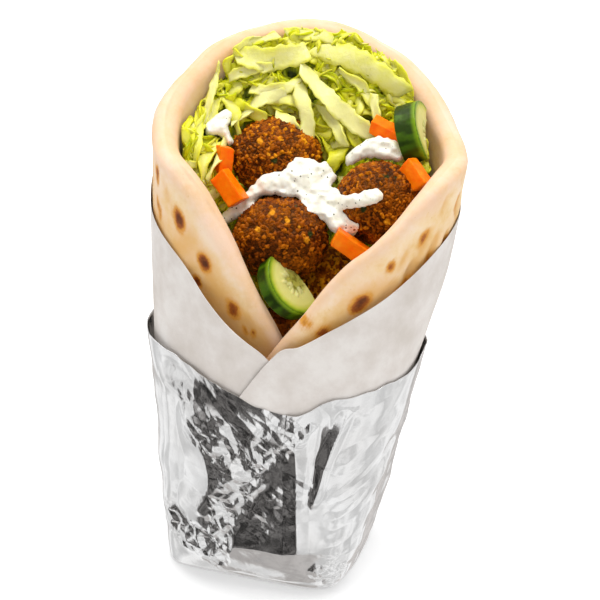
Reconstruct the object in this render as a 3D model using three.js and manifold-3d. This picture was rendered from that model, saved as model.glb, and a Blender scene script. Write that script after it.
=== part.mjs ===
// A falafel pita: a flatbread rolled round lettuce, falafel, cucumber, carrot and white sauce. A sheet
// of white paper is wrapped round the bread, and a cup of crumpled foil round the lower half.
// Units are millimetres and +Z is up. The origin is the centre of the foil's flat base, which it stands
// on. The roll opens at the front, which faces -Y, and +X is on the right of someone who faces it.

import * as THREE from "three";
import { mergeVertices } from "three/addons/utils/BufferGeometryUtils.js";
import Module from "manifold-3d";

const wasm = await Module();
wasm.setup();

// ---------------------------------------------------------------- driving dimensions

// Cross sections of the whole roll from its base to its mouth: height, centre, half width, half depth,
// squareness of the corners (2 is an ellipse) and turn about Z in degrees.
const SECTIONS = [
  { z: 0, x: 1.2, y: -0.6, halfWidth: 33.5, halfDepth: 25, square: 5.5, turn: -18 },
  { z: 12, x: 2, y: -0.2, halfWidth: 36.2, halfDepth: 28.5, square: 4, turn: -18 },
  { z: 45, x: 4.5, y: 5, halfWidth: 43, halfDepth: 34.6, square: 2.7, turn: -16 },
  { z: 85, x: 8, y: 10, halfWidth: 49.1, halfDepth: 40.7, square: 2.3, turn: -8 },
  { z: 120, x: 13, y: 14, halfWidth: 54.3, halfDepth: 45, square: 2.2, turn: 0 },
  { z: 160, x: 15.9, y: 16, halfWidth: 56.7, halfDepth: 47, square: 2.1, turn: 0 },
  { z: 195, x: 16.5, y: 16, halfWidth: 56, halfDepth: 47, square: 2.1, turn: 0 },
];

// Places round the roll are angles in degrees from the front: 90 is the left side, 180 the back, 270
// the right side, and past 360 the right flap laps over the left one.
const BREAD_THICKNESS = 8.8;
const BREAD_FLAP_THICKNESS = 4.5;
const BREAD_ENDS = [-24, 392];
const BREAD_BOTTOM = 2.2;
const BREAD_RIM = [
  [-24, 70], [7, 106], [15, 115], [28, 129], [39, 141], [47, 150], [56, 158.5], [66, 164.5], [80, 167],
  [100, 172], [120, 180.5], [140, 188], [160, 191.5], [180, 192], [200, 189], [220, 183], [240, 173],
  [255, 165.5], [270, 162.5], [288, 163], [299, 162], [308, 158.7], [321, 151], [333, 143.3],
  [342, 138], [350, 130.3], [360, 117.5], [367, 109.3], [392, 76],
];

const PAPER_THICKNESS = 0.5;
const PAPER_ENDS = [-28, 388];
const PAPER_BOTTOM = 1.7;
const PAPER_EDGE = [
  [-28, 70], [13, 103], [25, 110.2], [41, 121.2], [54, 129.8], [69, 137], [85, 142], [100, 148],
  [140, 154], [180, 156], [220, 150], [256, 141.5], [280, 139.5], [296, 137], [312, 131.6],
  [329, 123.5], [346, 115], [359, 108.2], [368, 105.5], [388, 78],
];

const FOIL_THICKNESS = 0.7;
const FOIL_RIM = [
  [-6, 80.8], [2, 80], [17, 83.5], [27, 87.3], [40, 90.2], [52, 92], [65, 93.2], [84, 93], [105, 90],
  [140, 86], [190, 83], [230, 82], [262, 84.5], [276, 88], [286, 89], [293, 87], [305, 86.3],
  [318, 87.8], [332, 87], [343, 85.8], [354, 80.8], [362, 80],
];

// How far the flaps of each layer stand in or out where one laps over the other at the front.
const FLAP_OFFSET = 2.6;
const FOIL_OFFSET = 3.8;
// How far the bread and the paper draw in from the foil at the base.
const BASE_INSET = 3.6;

// Toppings are placed in the slanted plane of the mouth: mm to the right, mm up the slope and mm out
// of the mouth, from the middle of the roll. SLOPE is the angle of the outward direction above level.
const MOUTH_ORIGIN = [12.5, 13, 100];
const SLOPE = Math.PI / 6;

// Neighbouring pieces stay this far apart.
const GAP = 0.35;

// ---------------------------------------------------------------- small helpers

const RADIANS = Math.PI / 180;

const clamp01 = (t) => Math.min(1, Math.max(0, t));

function smoothStep(from, to, value) {
  const t = clamp01((value - from) / (to - from));
  return t * t * (3 - 2 * t);
}

// A smooth curve through knots [x, y], held level beyond both ends.
function curveThrough(knots, x) {
  const last = knots.length - 1;
  if (x <= knots[0][0]) return knots[0][1];
  if (x >= knots[last][0]) return knots[last][1];
  let k = 0;
  while (knots[k + 1][0] < x) k += 1;
  const slopeAt = (i) => {
    const a = knots[Math.max(i - 1, 0)];
    const b = knots[Math.min(i + 1, last)];
    return (b[1] - a[1]) / (b[0] - a[0]);
  };
  const span = knots[k + 1][0] - knots[k][0];
  const t = (x - knots[k][0]) / span;
  const bend0 = slopeAt(k) * span;
  const bend1 = slopeAt(k + 1) * span;
  const rise = knots[k + 1][1] - knots[k][1];
  return knots[k][1] + bend0 * t + (3 * rise - 2 * bend0 - bend1) * t ** 2
    + (bend0 + bend1 - 2 * rise) * t ** 3;
}

// A repeatable stream of numbers from 0 to 1.
function seededRandom(seed) {
  let state = seed;
  return () => {
    state = (state * 1664525 + 1013904223) % 4294967296;
    return state / 4294967296;
  };
}

function closedGeometry(points, triangles) {
  const loose = new THREE.BufferGeometry();
  loose.setAttribute("position", new THREE.Float32BufferAttribute(points.flat(), 3));
  loose.setIndex(triangles.flat());
  return weld(loose);
}

// Merges the vertices that coincide and drops the triangles that this leaves without area.
function weld(geometry) {
  const bare = geometry.clone();
  bare.deleteAttribute("normal");
  bare.deleteAttribute("uv");
  const merged = mergeVertices(bare, 1e-3);
  const index = Array.from(merged.index.array);
  const kept = [];
  for (let i = 0; i < index.length; i += 3) {
    const [a, b, c] = index.slice(i, i + 3);
    if (a !== b && b !== c && c !== a) kept.push(a, b, c);
  }
  merged.setIndex(kept);
  return merged;
}

function toSolid(geometry) {
  const welded = weld(geometry);
  return new wasm.Manifold(new wasm.Mesh({
    numProp: 3,
    vertProperties: new Float32Array(welded.attributes.position.array),
    triVerts: new Uint32Array(welded.index.array),
  }));
}

// The largest body of a solid, as geometry: scraps that a cut leaves loose are dropped.
function largestBody(solid) {
  const bodies = solid.decompose();
  bodies.sort((a, b) => b.volume() - a.volume());
  const mesh = bodies[0].getMesh();
  const geometry = new THREE.BufferGeometry();
  geometry.setAttribute("position", new THREE.Float32BufferAttribute(mesh.vertProperties, 3));
  geometry.setIndex(Array.from(mesh.triVerts));
  return geometry;
}

function subtractAll(solid, cutters) {
  return cutters.reduce((left, cutter) => left.subtract(cutter), solid);
}

// ---------------------------------------------------------------- the roll's surface

function sectionAt(z) {
  const value = (key) => curveThrough(SECTIONS.map((s) => [s.z, s[key]]), z);
  return {
    x: value("x"), y: value("y"), halfWidth: value("halfWidth"), halfDepth: value("halfDepth"),
    square: value("square"), turn: value("turn"),
  };
}

// The point at an angle round the roll and a height, moved outwards by offset.
function rollPoint(angle, z, offset) {
  const s = sectionAt(z);
  const turned = (-angle - s.turn) * RADIANS;
  const across = Math.abs(Math.sin(turned)) / (s.halfWidth + offset);
  const along = Math.abs(Math.cos(turned)) / (s.halfDepth + offset);
  const radius = (across ** s.square + along ** s.square) ** (-1 / s.square);
  return [s.x - radius * Math.sin(angle * RADIANS), s.y - radius * Math.cos(angle * RADIANS), z];
}

const MEAN_RADIUS = 50;

// How steeply an edge line climbs round the roll, as height over distance.
function edgeSlope(knots, angle) {
  const step = 1;
  const rise = curveThrough(knots, angle + step) - curveThrough(knots, angle - step);
  return rise / (2 * step * RADIANS * MEAN_RADIUS);
}

const baseInset = (z) => BASE_INSET * (1 - smoothStep(0, 60, z));

// The left flap stands in and the right flap stands out, each fading out towards its side.
const flapLap = (angle) =>
  -FLAP_OFFSET * (1 - smoothStep(32, 85, angle)) + FLAP_OFFSET * smoothStep(285, 335, angle);

// The soft unevenness of the bread's face, and its bulge over the right side of the mouth.
const breadBulge = (angle, z) =>
  1.5 * smoothStep(248, 278, angle) * (1 - smoothStep(300, 330, angle)) * smoothStep(145, 163, z);
const breadWave = (angle, z) =>
  0.3 * Math.sin(angle * 0.11 + z * 0.05) * Math.sin(z * 0.09 + angle * 0.04 + 1)
  * smoothStep(30, 60, angle) * (1 - smoothStep(300, 330, angle));

const breadOuter = (angle, z) =>
  -1.4 + 1.7 * smoothStep(150, 178, z) + flapLap(angle) - baseInset(z) + breadWave(angle, z)
  + breadBulge(angle, z);

const breadThickness = (angle) =>
  BREAD_FLAP_THICKNESS + (BREAD_THICKNESS - BREAD_FLAP_THICKNESS)
  * smoothStep(15, 45, angle) * (1 - smoothStep(288, 335, angle));

// The inner end of the paper climbs over the edge of the bread's right flap.
const paperLap = (angle) => {
  const overFlap = 2 * FLAP_OFFSET * (1 - smoothStep(27, 60, angle));
  return flapLap(angle) + overFlap + 0.9 * smoothStep(300, 330, angle);
};

// The paper's upper edge stands a little off the bread on the left.
const paperOuter = (angle, z) => {
  const aside = smoothStep(60, 95, angle) * (1 - smoothStep(120, 200, angle));
  return 0.3 + paperLap(angle) - baseInset(z) + 0.6 * aside * smoothStep(115, 145, z);
};

// ---------------------------------------------------------------- sheets

// A rolled sheet with two free ends, as one closed solid. Rows run from the bottom to the edge line,
// measured square to it. outer gives the outer face's offset, thicknessAt the sheet's thickness and
// rounding how far the edges are rounded off.
function rolledSheet({ ends, bottom, edge, columns, rows, outer, thicknessAt, rounding }) {
  const [start, end] = ends;
  const endMargin = rounding / (MEAN_RADIUS * RADIANS);
  const angles = [];
  for (const share of [0, 0.15, 0.5]) angles.push(start + share * endMargin);
  for (let i = 0; i <= columns; i += 1) {
    angles.push(start + endMargin + (end - start - 2 * endMargin) * (i / columns));
  }
  for (const share of [0.5, 0.15, 0]) angles.push(end - share * endMargin);
  const depths = [0, 0.12, 0.45, 1].map((share) => share * rounding);

  const faces = { outer: [], inner: [] };
  for (const angle of angles) {
    const top = curveThrough(edge, angle);
    const stretch = Math.hypot(1, edgeSlope(edge, angle));
    const fromEnd = Math.min(angle - start, end - angle) * RADIANS * MEAN_RADIUS;
    const heights = depths.map((depth) => top - depth * stretch);
    const upper = heights[heights.length - 1];
    for (let j = 1; j <= rows; j += 1) {
      heights.push(upper + (bottom - upper) * (j / rows));
    }
    heights.forEach((z, row) => {
      const fromTop = row < depths.length ? depths[row] : rounding;
      const fromEdge = Math.min(fromTop, fromEnd, rounding);
      const roundness = Math.sqrt(1 - (1 - fromEdge / rounding) ** 2);
      const half = (thicknessAt(angle, z) / 2) * Math.max(roundness, 0.12);
      const middle = outer(angle, z) - thicknessAt(angle, z) / 2;
      faces.outer.push(rollPoint(angle, z, middle + half));
      faces.inner.push(rollPoint(angle, z, middle - half));
    });
  }

  const perColumn = depths.length + rows;
  const points = [...faces.outer, ...faces.inner];
  const innerStart = faces.outer.length;
  const triangles = [];
  const quad = (a, b, c, d) => triangles.push([a, b, c], [a, c, d]);
  for (let i = 0; i < angles.length - 1; i += 1) {
    for (let j = 0; j < perColumn - 1; j += 1) {
      const a = i * perColumn + j;
      const b = a + 1;
      const c = a + perColumn + 1;
      const d = a + perColumn;
      quad(a, d, c, b);
      quad(innerStart + a, innerStart + b, innerStart + c, innerStart + d);
    }
    for (const j of [0, perColumn - 1]) {
      const a = i * perColumn + j;
      const d = a + perColumn;
      if (j === 0) quad(a, innerStart + a, innerStart + d, d);
      else quad(a, d, innerStart + d, innerStart + a);
    }
  }
  for (let j = 0; j < perColumn - 1; j += 1) {
    const a = j;
    const z = (angles.length - 1) * perColumn + j;
    quad(a, a + 1, innerStart + a + 1, innerStart + a);
    quad(z, innerStart + z, innerStart + z + 1, z + 1);
  }
  return closedGeometry(points, triangles);
}

function bread() {
  return rolledSheet({
    ends: BREAD_ENDS, bottom: BREAD_BOTTOM, edge: BREAD_RIM, columns: 46, rows: 5,
    outer: breadOuter, thicknessAt: breadThickness, rounding: 3.6,
  });
}

function paper() {
  return rolledSheet({
    ends: PAPER_ENDS, bottom: PAPER_BOTTOM, edge: PAPER_EDGE, columns: 36, rows: 4,
    outer: paperOuter, thicknessAt: () => PAPER_THICKNESS, rounding: 0.6,
  });
}

// ---------------------------------------------------------------- foil

// The foil's right side laps over its left along a line that leans from the notch down to the left.
const foilSeamAngle = (z) => 6 + 30 * smoothStep(80, 10, z);

function foilOuter(angle, z) {
  const front = 1 - smoothStep(20, 75, Math.min(angle, 360 - angle));
  const lapped = FOIL_OFFSET * front * smoothStep(0, 60, z);
  const seam = 0.7 * (1 - smoothStep(0, 3, angle - foilSeamAngle(z))) * (angle < 180 ? 1 : 0);
  const flare = (angle < 180 ? 1.2 : 0.4) * smoothStep(76, 92, z) * (1 - front);
  return 1.6 + lapped + seam * smoothStep(4, 20, z) + flare;
}

// Shallow dents and ridges, deepest at the lower front left corner.
function foilCrumple(angle, z) {
  const zigzag = (t) => Math.abs(((t % 2) + 2) % 2 - 1) - 0.5;
  const depth = 0.5 + 0.9 * (1 - smoothStep(15, 60, Math.abs(angle - 45)));
  const pattern = zigzag(angle / 17 + z / 23) + zigzag(angle / 29 - z / 14 + 0.4);
  return 0.5 * depth * pattern * smoothStep(1, 9, z) * smoothStep(0, 12, 92 - z);
}

// A closed cup: outer wall, rim, inner wall and a floor that is flat underneath.
function foil() {
  const columns = 51;
  const levels = [0, 0.06, 0.14, 0.3, 0.46, 0.62, 0.78, 0.9, 1];
  const points = [];
  const triangles = [];
  for (const side of ["outer", "inner"]) {
    for (let i = 0; i < columns; i += 1) {
      const angle = (360 * i) / columns;
      const top = curveThrough(FOIL_RIM, angle);
      const bottom = side === "outer" ? 0 : FOIL_THICKNESS;
      for (const level of levels) {
        const z = bottom + (top - bottom) * level;
        const face = foilOuter(angle, z) + Math.max(-0.1, foilCrumple(angle, z));
        points.push(rollPoint(angle, z, side === "outer" ? face : foilOuter(angle, z) - FOIL_THICKNESS));
      }
    }
  }
  const rowCount = levels.length;
  const innerStart = columns * rowCount;
  const outerMiddle = points.length;
  points.push([SECTIONS[0].x, SECTIONS[0].y, 0], [SECTIONS[0].x, SECTIONS[0].y, FOIL_THICKNESS]);
  for (let i = 0; i < columns; i += 1) {
    const here = i * rowCount;
    const next = ((i + 1) % columns) * rowCount;
    for (let j = 0; j < rowCount - 1; j += 1) {
      triangles.push([here + j, here + j + 1, next + j + 1], [here + j, next + j + 1, next + j]);
      const a = innerStart + here + j;
      const d = innerStart + next + j;
      triangles.push([a, d + 1, a + 1], [a, d, d + 1]);
    }
    const top = rowCount - 1;
    triangles.push([here + top, innerStart + here + top, innerStart + next + top]);
    triangles.push([here + top, innerStart + next + top, next + top]);
    triangles.push([outerMiddle, here, next], [outerMiddle + 1, innerStart + next, innerStart + here]);
  }
  return closedGeometry(points, triangles);
}

// ---------------------------------------------------------------- placing in the mouth

const RIGHT = new THREE.Vector3(1, 0, 0);
const OUT = new THREE.Vector3(0, -Math.cos(SLOPE), Math.sin(SLOPE));
const RISE = new THREE.Vector3(0, Math.sin(SLOPE), Math.cos(SLOPE));

function mouthPoint(right, rise, out) {
  return new THREE.Vector3(...MOUTH_ORIGIN)
    .addScaledVector(RIGHT, right)
    .addScaledVector(RISE, rise)
    .addScaledVector(OUT, out);
}

// ---------------------------------------------------------------- falafel

// Crags stand this far in and out, and the facets of a ball's room lie this far inside its radius.
const CRAG = 0.45;
const FACET_SAG = 0.2;
const FALAFELS = [
  { name: "falafel_back", at: [3.6, 28, 151.8], radii: [16.9, 16.2, 14.4], detail: 4, seed: 11 },
  { name: "falafel_front", at: [5.3, 1, 132.4], radii: [17.3, 16.2, 15.1], detail: 4, seed: 23 },
  { name: "falafel_right", at: [40.8, 6, 144.3], radii: [15.6, 15.5, 15.1], detail: 4, seed: 37 },
  { name: "falafel_low", at: [26.4, 11, 110.6], radii: [15, 15, 14.2], detail: 3, seed: 41 },
  { name: "falafel_bottom", at: [6, 0, 90.6], radii: [14, 13.4, 13.6], detail: 2, seed: 53 },
];

// The ball itself, or the room that it needs when margin is given.
function falafel({ at, radii, detail, seed }, margin = 0) {
  const geometry = weld(new THREE.IcosahedronGeometry(1, margin > 0 ? 3 : detail));
  const random = seededRandom(seed);
  const position = geometry.attributes.position;
  const direction = new THREE.Vector3();
  for (let i = 0; i < position.count; i += 1) {
    direction.fromBufferAttribute(position, i).normalize();
    const crag = margin > 0 ? CRAG + margin : CRAG * (2 * random() - 1);
    const [x, y, z] = radii.map((radius, axis) => direction.getComponent(axis) * (radius + crag));
    position.setXYZ(i, x, y, z);
  }
  geometry.translate(...at);
  return geometry;
}

// ---------------------------------------------------------------- cucumber

const CUCUMBER_RADIUS = 12.6;

// at is the middle of the line between both ends of the cut edge on the shown face, facing the face's
// direction, and bulge the direction from there to the middle of the rind. bow is how far the cut
// edge stands out past that line, or dips in where below 0.
const CUCUMBERS = [
  {
    name: "cucumber_front",
    at: [10.8, -16.4, 124.8],
    facing: [0.66, -0.365, 0.657],
    bulge: [-0.36, -0.918, -0.15],
    thickness: 6.2,
    bow: 3.5,
  },
  {
    name: "cucumber_right",
    at: [58.5, 22.6, 163.6],
    facing: [0.915, -0.163, 0.368],
    bulge: [-0.402, -0.326, 0.856],
    thickness: 8.2,
    bow: -1.2,
  },
];

function cucumber({ at, facing, bulge, thickness, bow }, grow = 0) {
  const radius = CUCUMBER_RADIUS + grow;
  const edge = grow > 0 ? Math.max(bow, 0) : bow;
  const outline = new THREE.Shape();
  outline.absarc(0, 0, radius, 0, Math.PI, false);
  outline.lineTo(-radius, -grow);
  outline.quadraticCurveTo(0, -2 * edge - grow, radius, -grow);
  const geometry = new THREE.ExtrudeGeometry(outline, {
    depth: thickness + 2 * grow, steps: 1, bevelEnabled: false, curveSegments: 14,
  });
  geometry.translate(0, 0, -thickness - grow);
  const zAxis = new THREE.Vector3(...facing).normalize();
  const yAxis = new THREE.Vector3(...bulge);
  yAxis.addScaledVector(zAxis, -yAxis.dot(zAxis)).normalize();
  const xAxis = new THREE.Vector3().crossVectors(yAxis, zAxis);
  geometry.applyMatrix4(new THREE.Matrix4().makeBasis(xAxis, yAxis, zAxis));
  geometry.translate(...at);
  return weld(geometry);
}

// ---------------------------------------------------------------- carrot

// Each stick: its middle in the mouth, its long direction there, and length, width and depth.
const CARROTS = [
  { name: "carrot_left", at: [-25.4, 40, 29], along: [0.55, -0.8, 0.1], size: [12.6, 6.6, 6.6], roll: 20 },
  { name: "carrot_left_back", at: [-27.6, 49.6, 22], along: [0.1, 1, 0.2], size: [12, 5.4, 5.4], roll: 25 },
  { name: "carrot_middle", at: [18, 18.8, 37], along: [0.82, -0.55, -0.1], size: [14, 6.6, 6], roll: 15 },
  { name: "carrot_right", at: [41, 44.4, 34.4], along: [0.5, -0.75, 0.25], size: [10.5, 6.4, 6], roll: 30 },
  { name: "carrot_back", at: [31.4, 61, 23], along: [0.85, -0.45, 0.15], size: [12, 5.6, 5.6], roll: 40 },
];
// The long corners are worn by this share, and both ends are cut aslant by this much.
const CARROT_CORNER = 0.93;
const CARROT_SLANT = 0.12;

function carrot({ at, along, size, roll }, grow = 0) {
  const [length, width, depth] = size.map((side) => side + 2 * grow);
  const geometry = weld(new THREE.BoxGeometry(length, width, depth, 3, 2, 2));
  const position = geometry.attributes.position;
  for (let i = 0; i < position.count; i += 1) {
    const [x, y, z] = [position.getX(i), position.getY(i), position.getZ(i)];
    const worn = Math.abs(y) > width * 0.4 && Math.abs(z) > depth * 0.4 ? CARROT_CORNER : 1;
    const slant = Math.abs(x) > length * 0.4 ? CARROT_SLANT * Math.sign(x) * y : 0;
    position.setXYZ(i, x + slant, y * worn, z * worn);
  }
  const xAxis = new THREE.Vector3()
    .addScaledVector(RIGHT, along[0])
    .addScaledVector(RISE, along[1])
    .addScaledVector(OUT, along[2])
    .normalize();
  const yAxis = new THREE.Vector3().crossVectors(OUT, xAxis).normalize();
  yAxis.applyAxisAngle(xAxis, roll * RADIANS);
  const zAxis = new THREE.Vector3().crossVectors(xAxis, yAxis);
  geometry.applyMatrix4(new THREE.Matrix4().makeBasis(xAxis, yAxis, zAxis));
  geometry.translate(...mouthPoint(...at).toArray());
  return geometry;
}

// ---------------------------------------------------------------- lettuce heap

// The level of the lettuce under the toppings, from the front to the back.
const HEAP_BOTTOM = 2.6;
const HEAP_PROFILE = [
  [-22, 86], [0, 98], [8, 114], [16, 131], [25, 145], [38, 166], [52, 188], [60, 194],
];

// The heap climbs against both sides as well, except at the back.
function heapHeight(x, y) {
  const aside = x - 15;
  const climb = aside < 0 ? 0.0145 * aside ** 2 : 0.004 * aside ** 2;
  return curveThrough(HEAP_PROFILE, y) + climb * (1 - smoothStep(15, 45, y));
}

// How far the filling stays inside the roll's surface: clear of the innermost layer of bread, and a
// little way past the left flap's end.
const FILLING_GAP = 1.2;
const PAST_END = 15;
function fillingInset(angle, z) {
  const layers = [angle - 360, angle, angle + 360]
    .filter((a) => a > BREAD_ENDS[0] - PAST_END && a < BREAD_ENDS[1]);
  return FILLING_GAP + Math.max(...layers.map((a) => breadThickness(a) - breadOuter(a, z)));
}

// A closed body inside the roll from a bottom level up to topHeight, which bump makes uneven.
const FILLING_MIDDLE = [15, 15];
function fillingBody({ columns, wallRows, topRings, bottom, topHeight, bump }) {
  const points = [];
  const triangles = [];
  const wallTop = [];
  for (let i = 0; i < columns; i += 1) {
    const angle = (360 * i) / columns;
    let z = 150;
    for (let pass = 0; pass < 12; pass += 1) {
      const [x, y] = rollPoint(angle, z, -fillingInset(angle, z));
      z = 0.5 * (z + topHeight(x, y));
    }
    wallTop.push(z);
  }
  for (let j = 0; j <= wallRows; j += 1) {
    for (let i = 0; i < columns; i += 1) {
      const angle = (360 * i) / columns;
      const z = bottom + (wallTop[i] - bottom) * (j / wallRows);
      points.push(rollPoint(angle, z, -fillingInset(angle, z)));
    }
  }
  const [middleX, middleY] = FILLING_MIDDLE;
  for (let ring = 1; ring < topRings; ring += 1) {
    const share = 1 - ring / topRings;
    for (let i = 0; i < columns; i += 1) {
      const angle = (360 * i) / columns;
      const [x, y] = rollPoint(angle, wallTop[i], -fillingInset(angle, wallTop[i]));
      const px = middleX + (x - middleX) * share;
      const py = middleY + (y - middleY) * share;
      points.push([px, py, topHeight(px, py) + bump()]);
    }
  }
  const rings = wallRows + topRings;
  for (let j = 0; j < rings - 1; j += 1) {
    for (let i = 0; i < columns; i += 1) {
      const next = (i + 1) % columns;
      const [a, b] = [j * columns + i, j * columns + next];
      const [c, d] = [a + columns, b + columns];
      triangles.push([a, d, b], [a, c, d]);
    }
  }
  const low = points.length;
  points.push([SECTIONS[0].x, SECTIONS[0].y, bottom]);
  points.push([middleX, middleY, topHeight(middleX, middleY)]);
  const lastRing = (rings - 1) * columns;
  for (let i = 0; i < columns; i += 1) {
    const next = (i + 1) % columns;
    triangles.push([low, i, next], [low + 1, lastRing + next, lastRing + i]);
  }
  return closedGeometry(points, triangles);
}

// Shreds that show: both ends in the mouth plane (right, rise), how far out of the mouth each end
// stands from the heap, width and sideways bow.
const SHREDS = [
  { from: [-31, 86], to: [-34, 65], lift: [1.5, 1], width: 4.2, bow: 1.5 },
  { from: [-30, 57], to: [-36, 40], lift: [1, 1], width: 5, bow: -2 },
  { from: [-37, 68], to: [-38, 48], lift: [0.5, 1], width: 4, bow: 1 },
  { from: [-36, 44], to: [-33, 26], lift: [1, 0.5], width: 4.6, bow: 1.5 },
  { from: [0, 84], to: [27, 59], lift: [4, 3.5], width: 6.6, bow: -1.5 },
  { from: [-1, 78], to: [3.5, 57.5], lift: [3.5, 7], width: 5.6, bow: 1 },
  { from: [7, 71], to: [16, 57], lift: [2, 3], width: 5, bow: 1 },
  { from: [27, 75], to: [29.5, 61], lift: [3, 4], width: 4, bow: -0.8 },
  { from: [6, 92], to: [37, 76], lift: [2, 2.5], width: 9.5, bow: 3 },
  { from: [-24, 89], to: [2, 91], lift: [2, 2.5], width: 9, bow: -2.5 },
  { from: [-16, 98], to: [-12, 88], lift: [0, 1], width: 8, bow: 0.5 },
  { from: [-25, 64], to: [-5, 74], lift: [3, 3], width: 5.2, bow: 3 },
  { from: [-26, 81], to: [-10, 84], lift: [1.5, 2], width: 5, bow: 1 },
  { from: [-18, 77], to: [0, 79], lift: [2.5, 2], width: 4.6, bow: -2 },
  { from: [-9, 66], to: [0, 61.5], lift: [4, 6], width: 4.4, bow: 0.8 },
  { from: [10, 47], to: [16, 54], lift: [2, 2], width: 5.5, bow: 1 },
  { from: [14, 84], to: [26, 70], lift: [1, 1.5], width: 4.4, bow: 2 },
  { from: [18, 66], to: [22, 55], lift: [0.5, 1], width: 4.6, bow: -1 },
  { from: [-28, 74], to: [-22, 60], lift: [0.5, 1.5], width: 4.6, bow: 1.5 },
  { from: [36, 88], to: [42, 74], lift: [-1, 0], width: 5, bow: -1 },
  { from: [-24, 91], to: [-8, 97], lift: [1, 1.5], width: 6, bow: 1 },
  { from: [-5, 96], to: [13, 94], lift: [1, 1], width: 6, bow: 1.5 },
  { from: [20, 91], to: [33, 84], lift: [0.5, 0], width: 5.5, bow: 1 },
];
const SHRED_THICKNESS = 1.3;
const SHRED_LOWEST = 60;
const ROOM_TOP = 205;
// The core lies this far under the heap's level and is uneven by CORE_BUMP. The ends of the shreds
// lie SHRED_ROOT under it, measured out of the mouth, so that they run into the core.
const CORE_DEPTH = 0.6;
const CORE_BUMP = 1.1;
const SHRED_ROOT = 0.8;
// A shred's own waves, and how far it arches up along its length.
const SHRED_WAVE = 0.5;
const SHRED_TWIST = 0.35;
const SHRED_ARCH = 1.4;

// The depth in the mouth at which a straight line out of it leaves the heap.
function heapOut(right, rise) {
  let out = 0;
  for (let pass = 0; pass < 24; pass += 1) {
    const point = mouthPoint(right, rise, out);
    out += (heapHeight(point.x, point.y) - point.z) * 0.6;
  }
  return out;
}

// A thin wavy strip whose two faces are split into triangles alike.
function shred({ from, to, lift, width, bow }, index) {
  const steps = 4;
  const lines = 3;
  const sides = [[], []];
  const dx = to[0] - from[0];
  const dy = to[1] - from[1];
  const length = Math.hypot(dx, dy);
  for (let i = 0; i <= steps; i += 1) {
    const t = i / steps;
    const taper = 0.55 + 0.45 * Math.sin(Math.PI * clamp01(0.12 + 0.8 * t)) ** 0.5;
    const arch = Math.sin(Math.PI * t);
    for (let j = 0; j < lines; j += 1) {
      const across = (j - 1) * 0.5 * width * taper + bow * arch;
      const right = from[0] + dx * t - (dy / length) * across;
      const rise = from[1] + dy * t + (dx / length) * across;
      const wave = SHRED_WAVE * Math.sin(t * length * 0.35 + index * 1.7);
      const twist = SHRED_TWIST * (j - 1) * Math.sin(t * 5 + index);
      const raised = (lift[0] + (lift[1] - lift[0]) * t + wave + SHRED_ARCH) * arch ** 0.6;
      const out = heapOut(right, rise) - SHRED_ROOT + raised + twist;
      sides[0].push(mouthPoint(right, rise, out + SHRED_THICKNESS / 2).toArray());
      sides[1].push(mouthPoint(right, rise, out - SHRED_THICKNESS / 2).toArray());
    }
  }
  const under = sides[0].length;
  const triangles = [];
  const quad = (a, b, c, d) => triangles.push([a, b, c], [a, c, d]);
  for (let i = 0; i < steps; i += 1) {
    for (let j = 0; j < lines - 1; j += 1) {
      const a = i * lines + j;
      quad(a, a + lines, a + lines + 1, a + 1);
      quad(under + a, under + a + 1, under + a + lines + 1, under + a + lines);
    }
    const near = i * lines;
    const far = i * lines + lines - 1;
    quad(near, under + near, under + near + lines, near + lines);
    quad(far, far + lines, under + far + lines, under + far);
  }
  for (let j = 0; j < lines - 1; j += 1) {
    const last = steps * lines + j;
    quad(j, j + 1, under + j + 1, under + j);
    quad(last, under + last, under + last + 1, last + 1);
  }
  return closedGeometry([...sides[0], ...sides[1]], triangles);
}

function heapCore() {
  const random = seededRandom(7);
  return toSolid(fillingBody({
    columns: 24, wallRows: 5, topRings: 5, bottom: HEAP_BOTTOM,
    topHeight: (x, y) => heapHeight(x, y) - CORE_DEPTH,
    bump: () => CORE_BUMP * (2 * random() - 1),
  }));
}

// The part of a shred that lies inside the bread.
function shredInBread(strip, index) {
  const room = toSolid(fillingBody({
    columns: 32, wallRows: 6, topRings: 2, bottom: SHRED_LOWEST,
    topHeight: () => ROOM_TOP,
    bump: () => 0,
  }));
  return toSolid(shred(strip, index)).intersect(room);
}

// ---------------------------------------------------------------- sauce

// Strokes of sauce in the mouth, each a line of places [right, rise, out, radius].
const SAUCES = [
  {
    name: "sauce_middle",
    strokes: [
      [
        [-25.6, 29.8, 25, 3.2], [-21, 34, 24.5, 3.2], [-16, 38.2, 24.5, 3.4], [-10, 40.6, 26, 4],
        [-3, 42, 26.2, 5], [4, 44, 25, 5.8], [9, 43.4, 23.5, 4.8],
      ],
      [
        [3, 40, 27.5, 4.6], [7, 36.6, 28, 5], [11, 31.5, 29.5, 4.8], [14, 27, 31, 4.8],
        [17.5, 25.6, 33, 3],
      ],
      [[12, 32, 31, 3.8], [16.2, 33.3, 37, 3.6], [20.4, 35, 41.2, 3.2], [26, 36, 43, 3.2]],
    ],
  },
  {
    name: "sauce_right",
    strokes: [
      [[19, 51.4, 23, 3.2], [23, 53.4, 24.5, 4.2], [28, 54.8, 25.5, 4.6], [34, 52.4, 28, 3.8]],
    ],
  },
  { name: "sauce_left", strokes: [[[-32, 62, 20, 3], [-29, 63.8, 19, 3.6], [-26.6, 67, 17, 3]]] },
];
const BEAD_SIDES = 7;
const BEAD_FLATNESS = 0.8;
// A stroke's rounded tip: how far its last ring and its point reach past the end, and how wide that
// ring is, as shares of the radius.
const TIP_REACH = 0.65;
const TIP_POINT = 0.95;
const TIP_WIDTH = 0.72;

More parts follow.
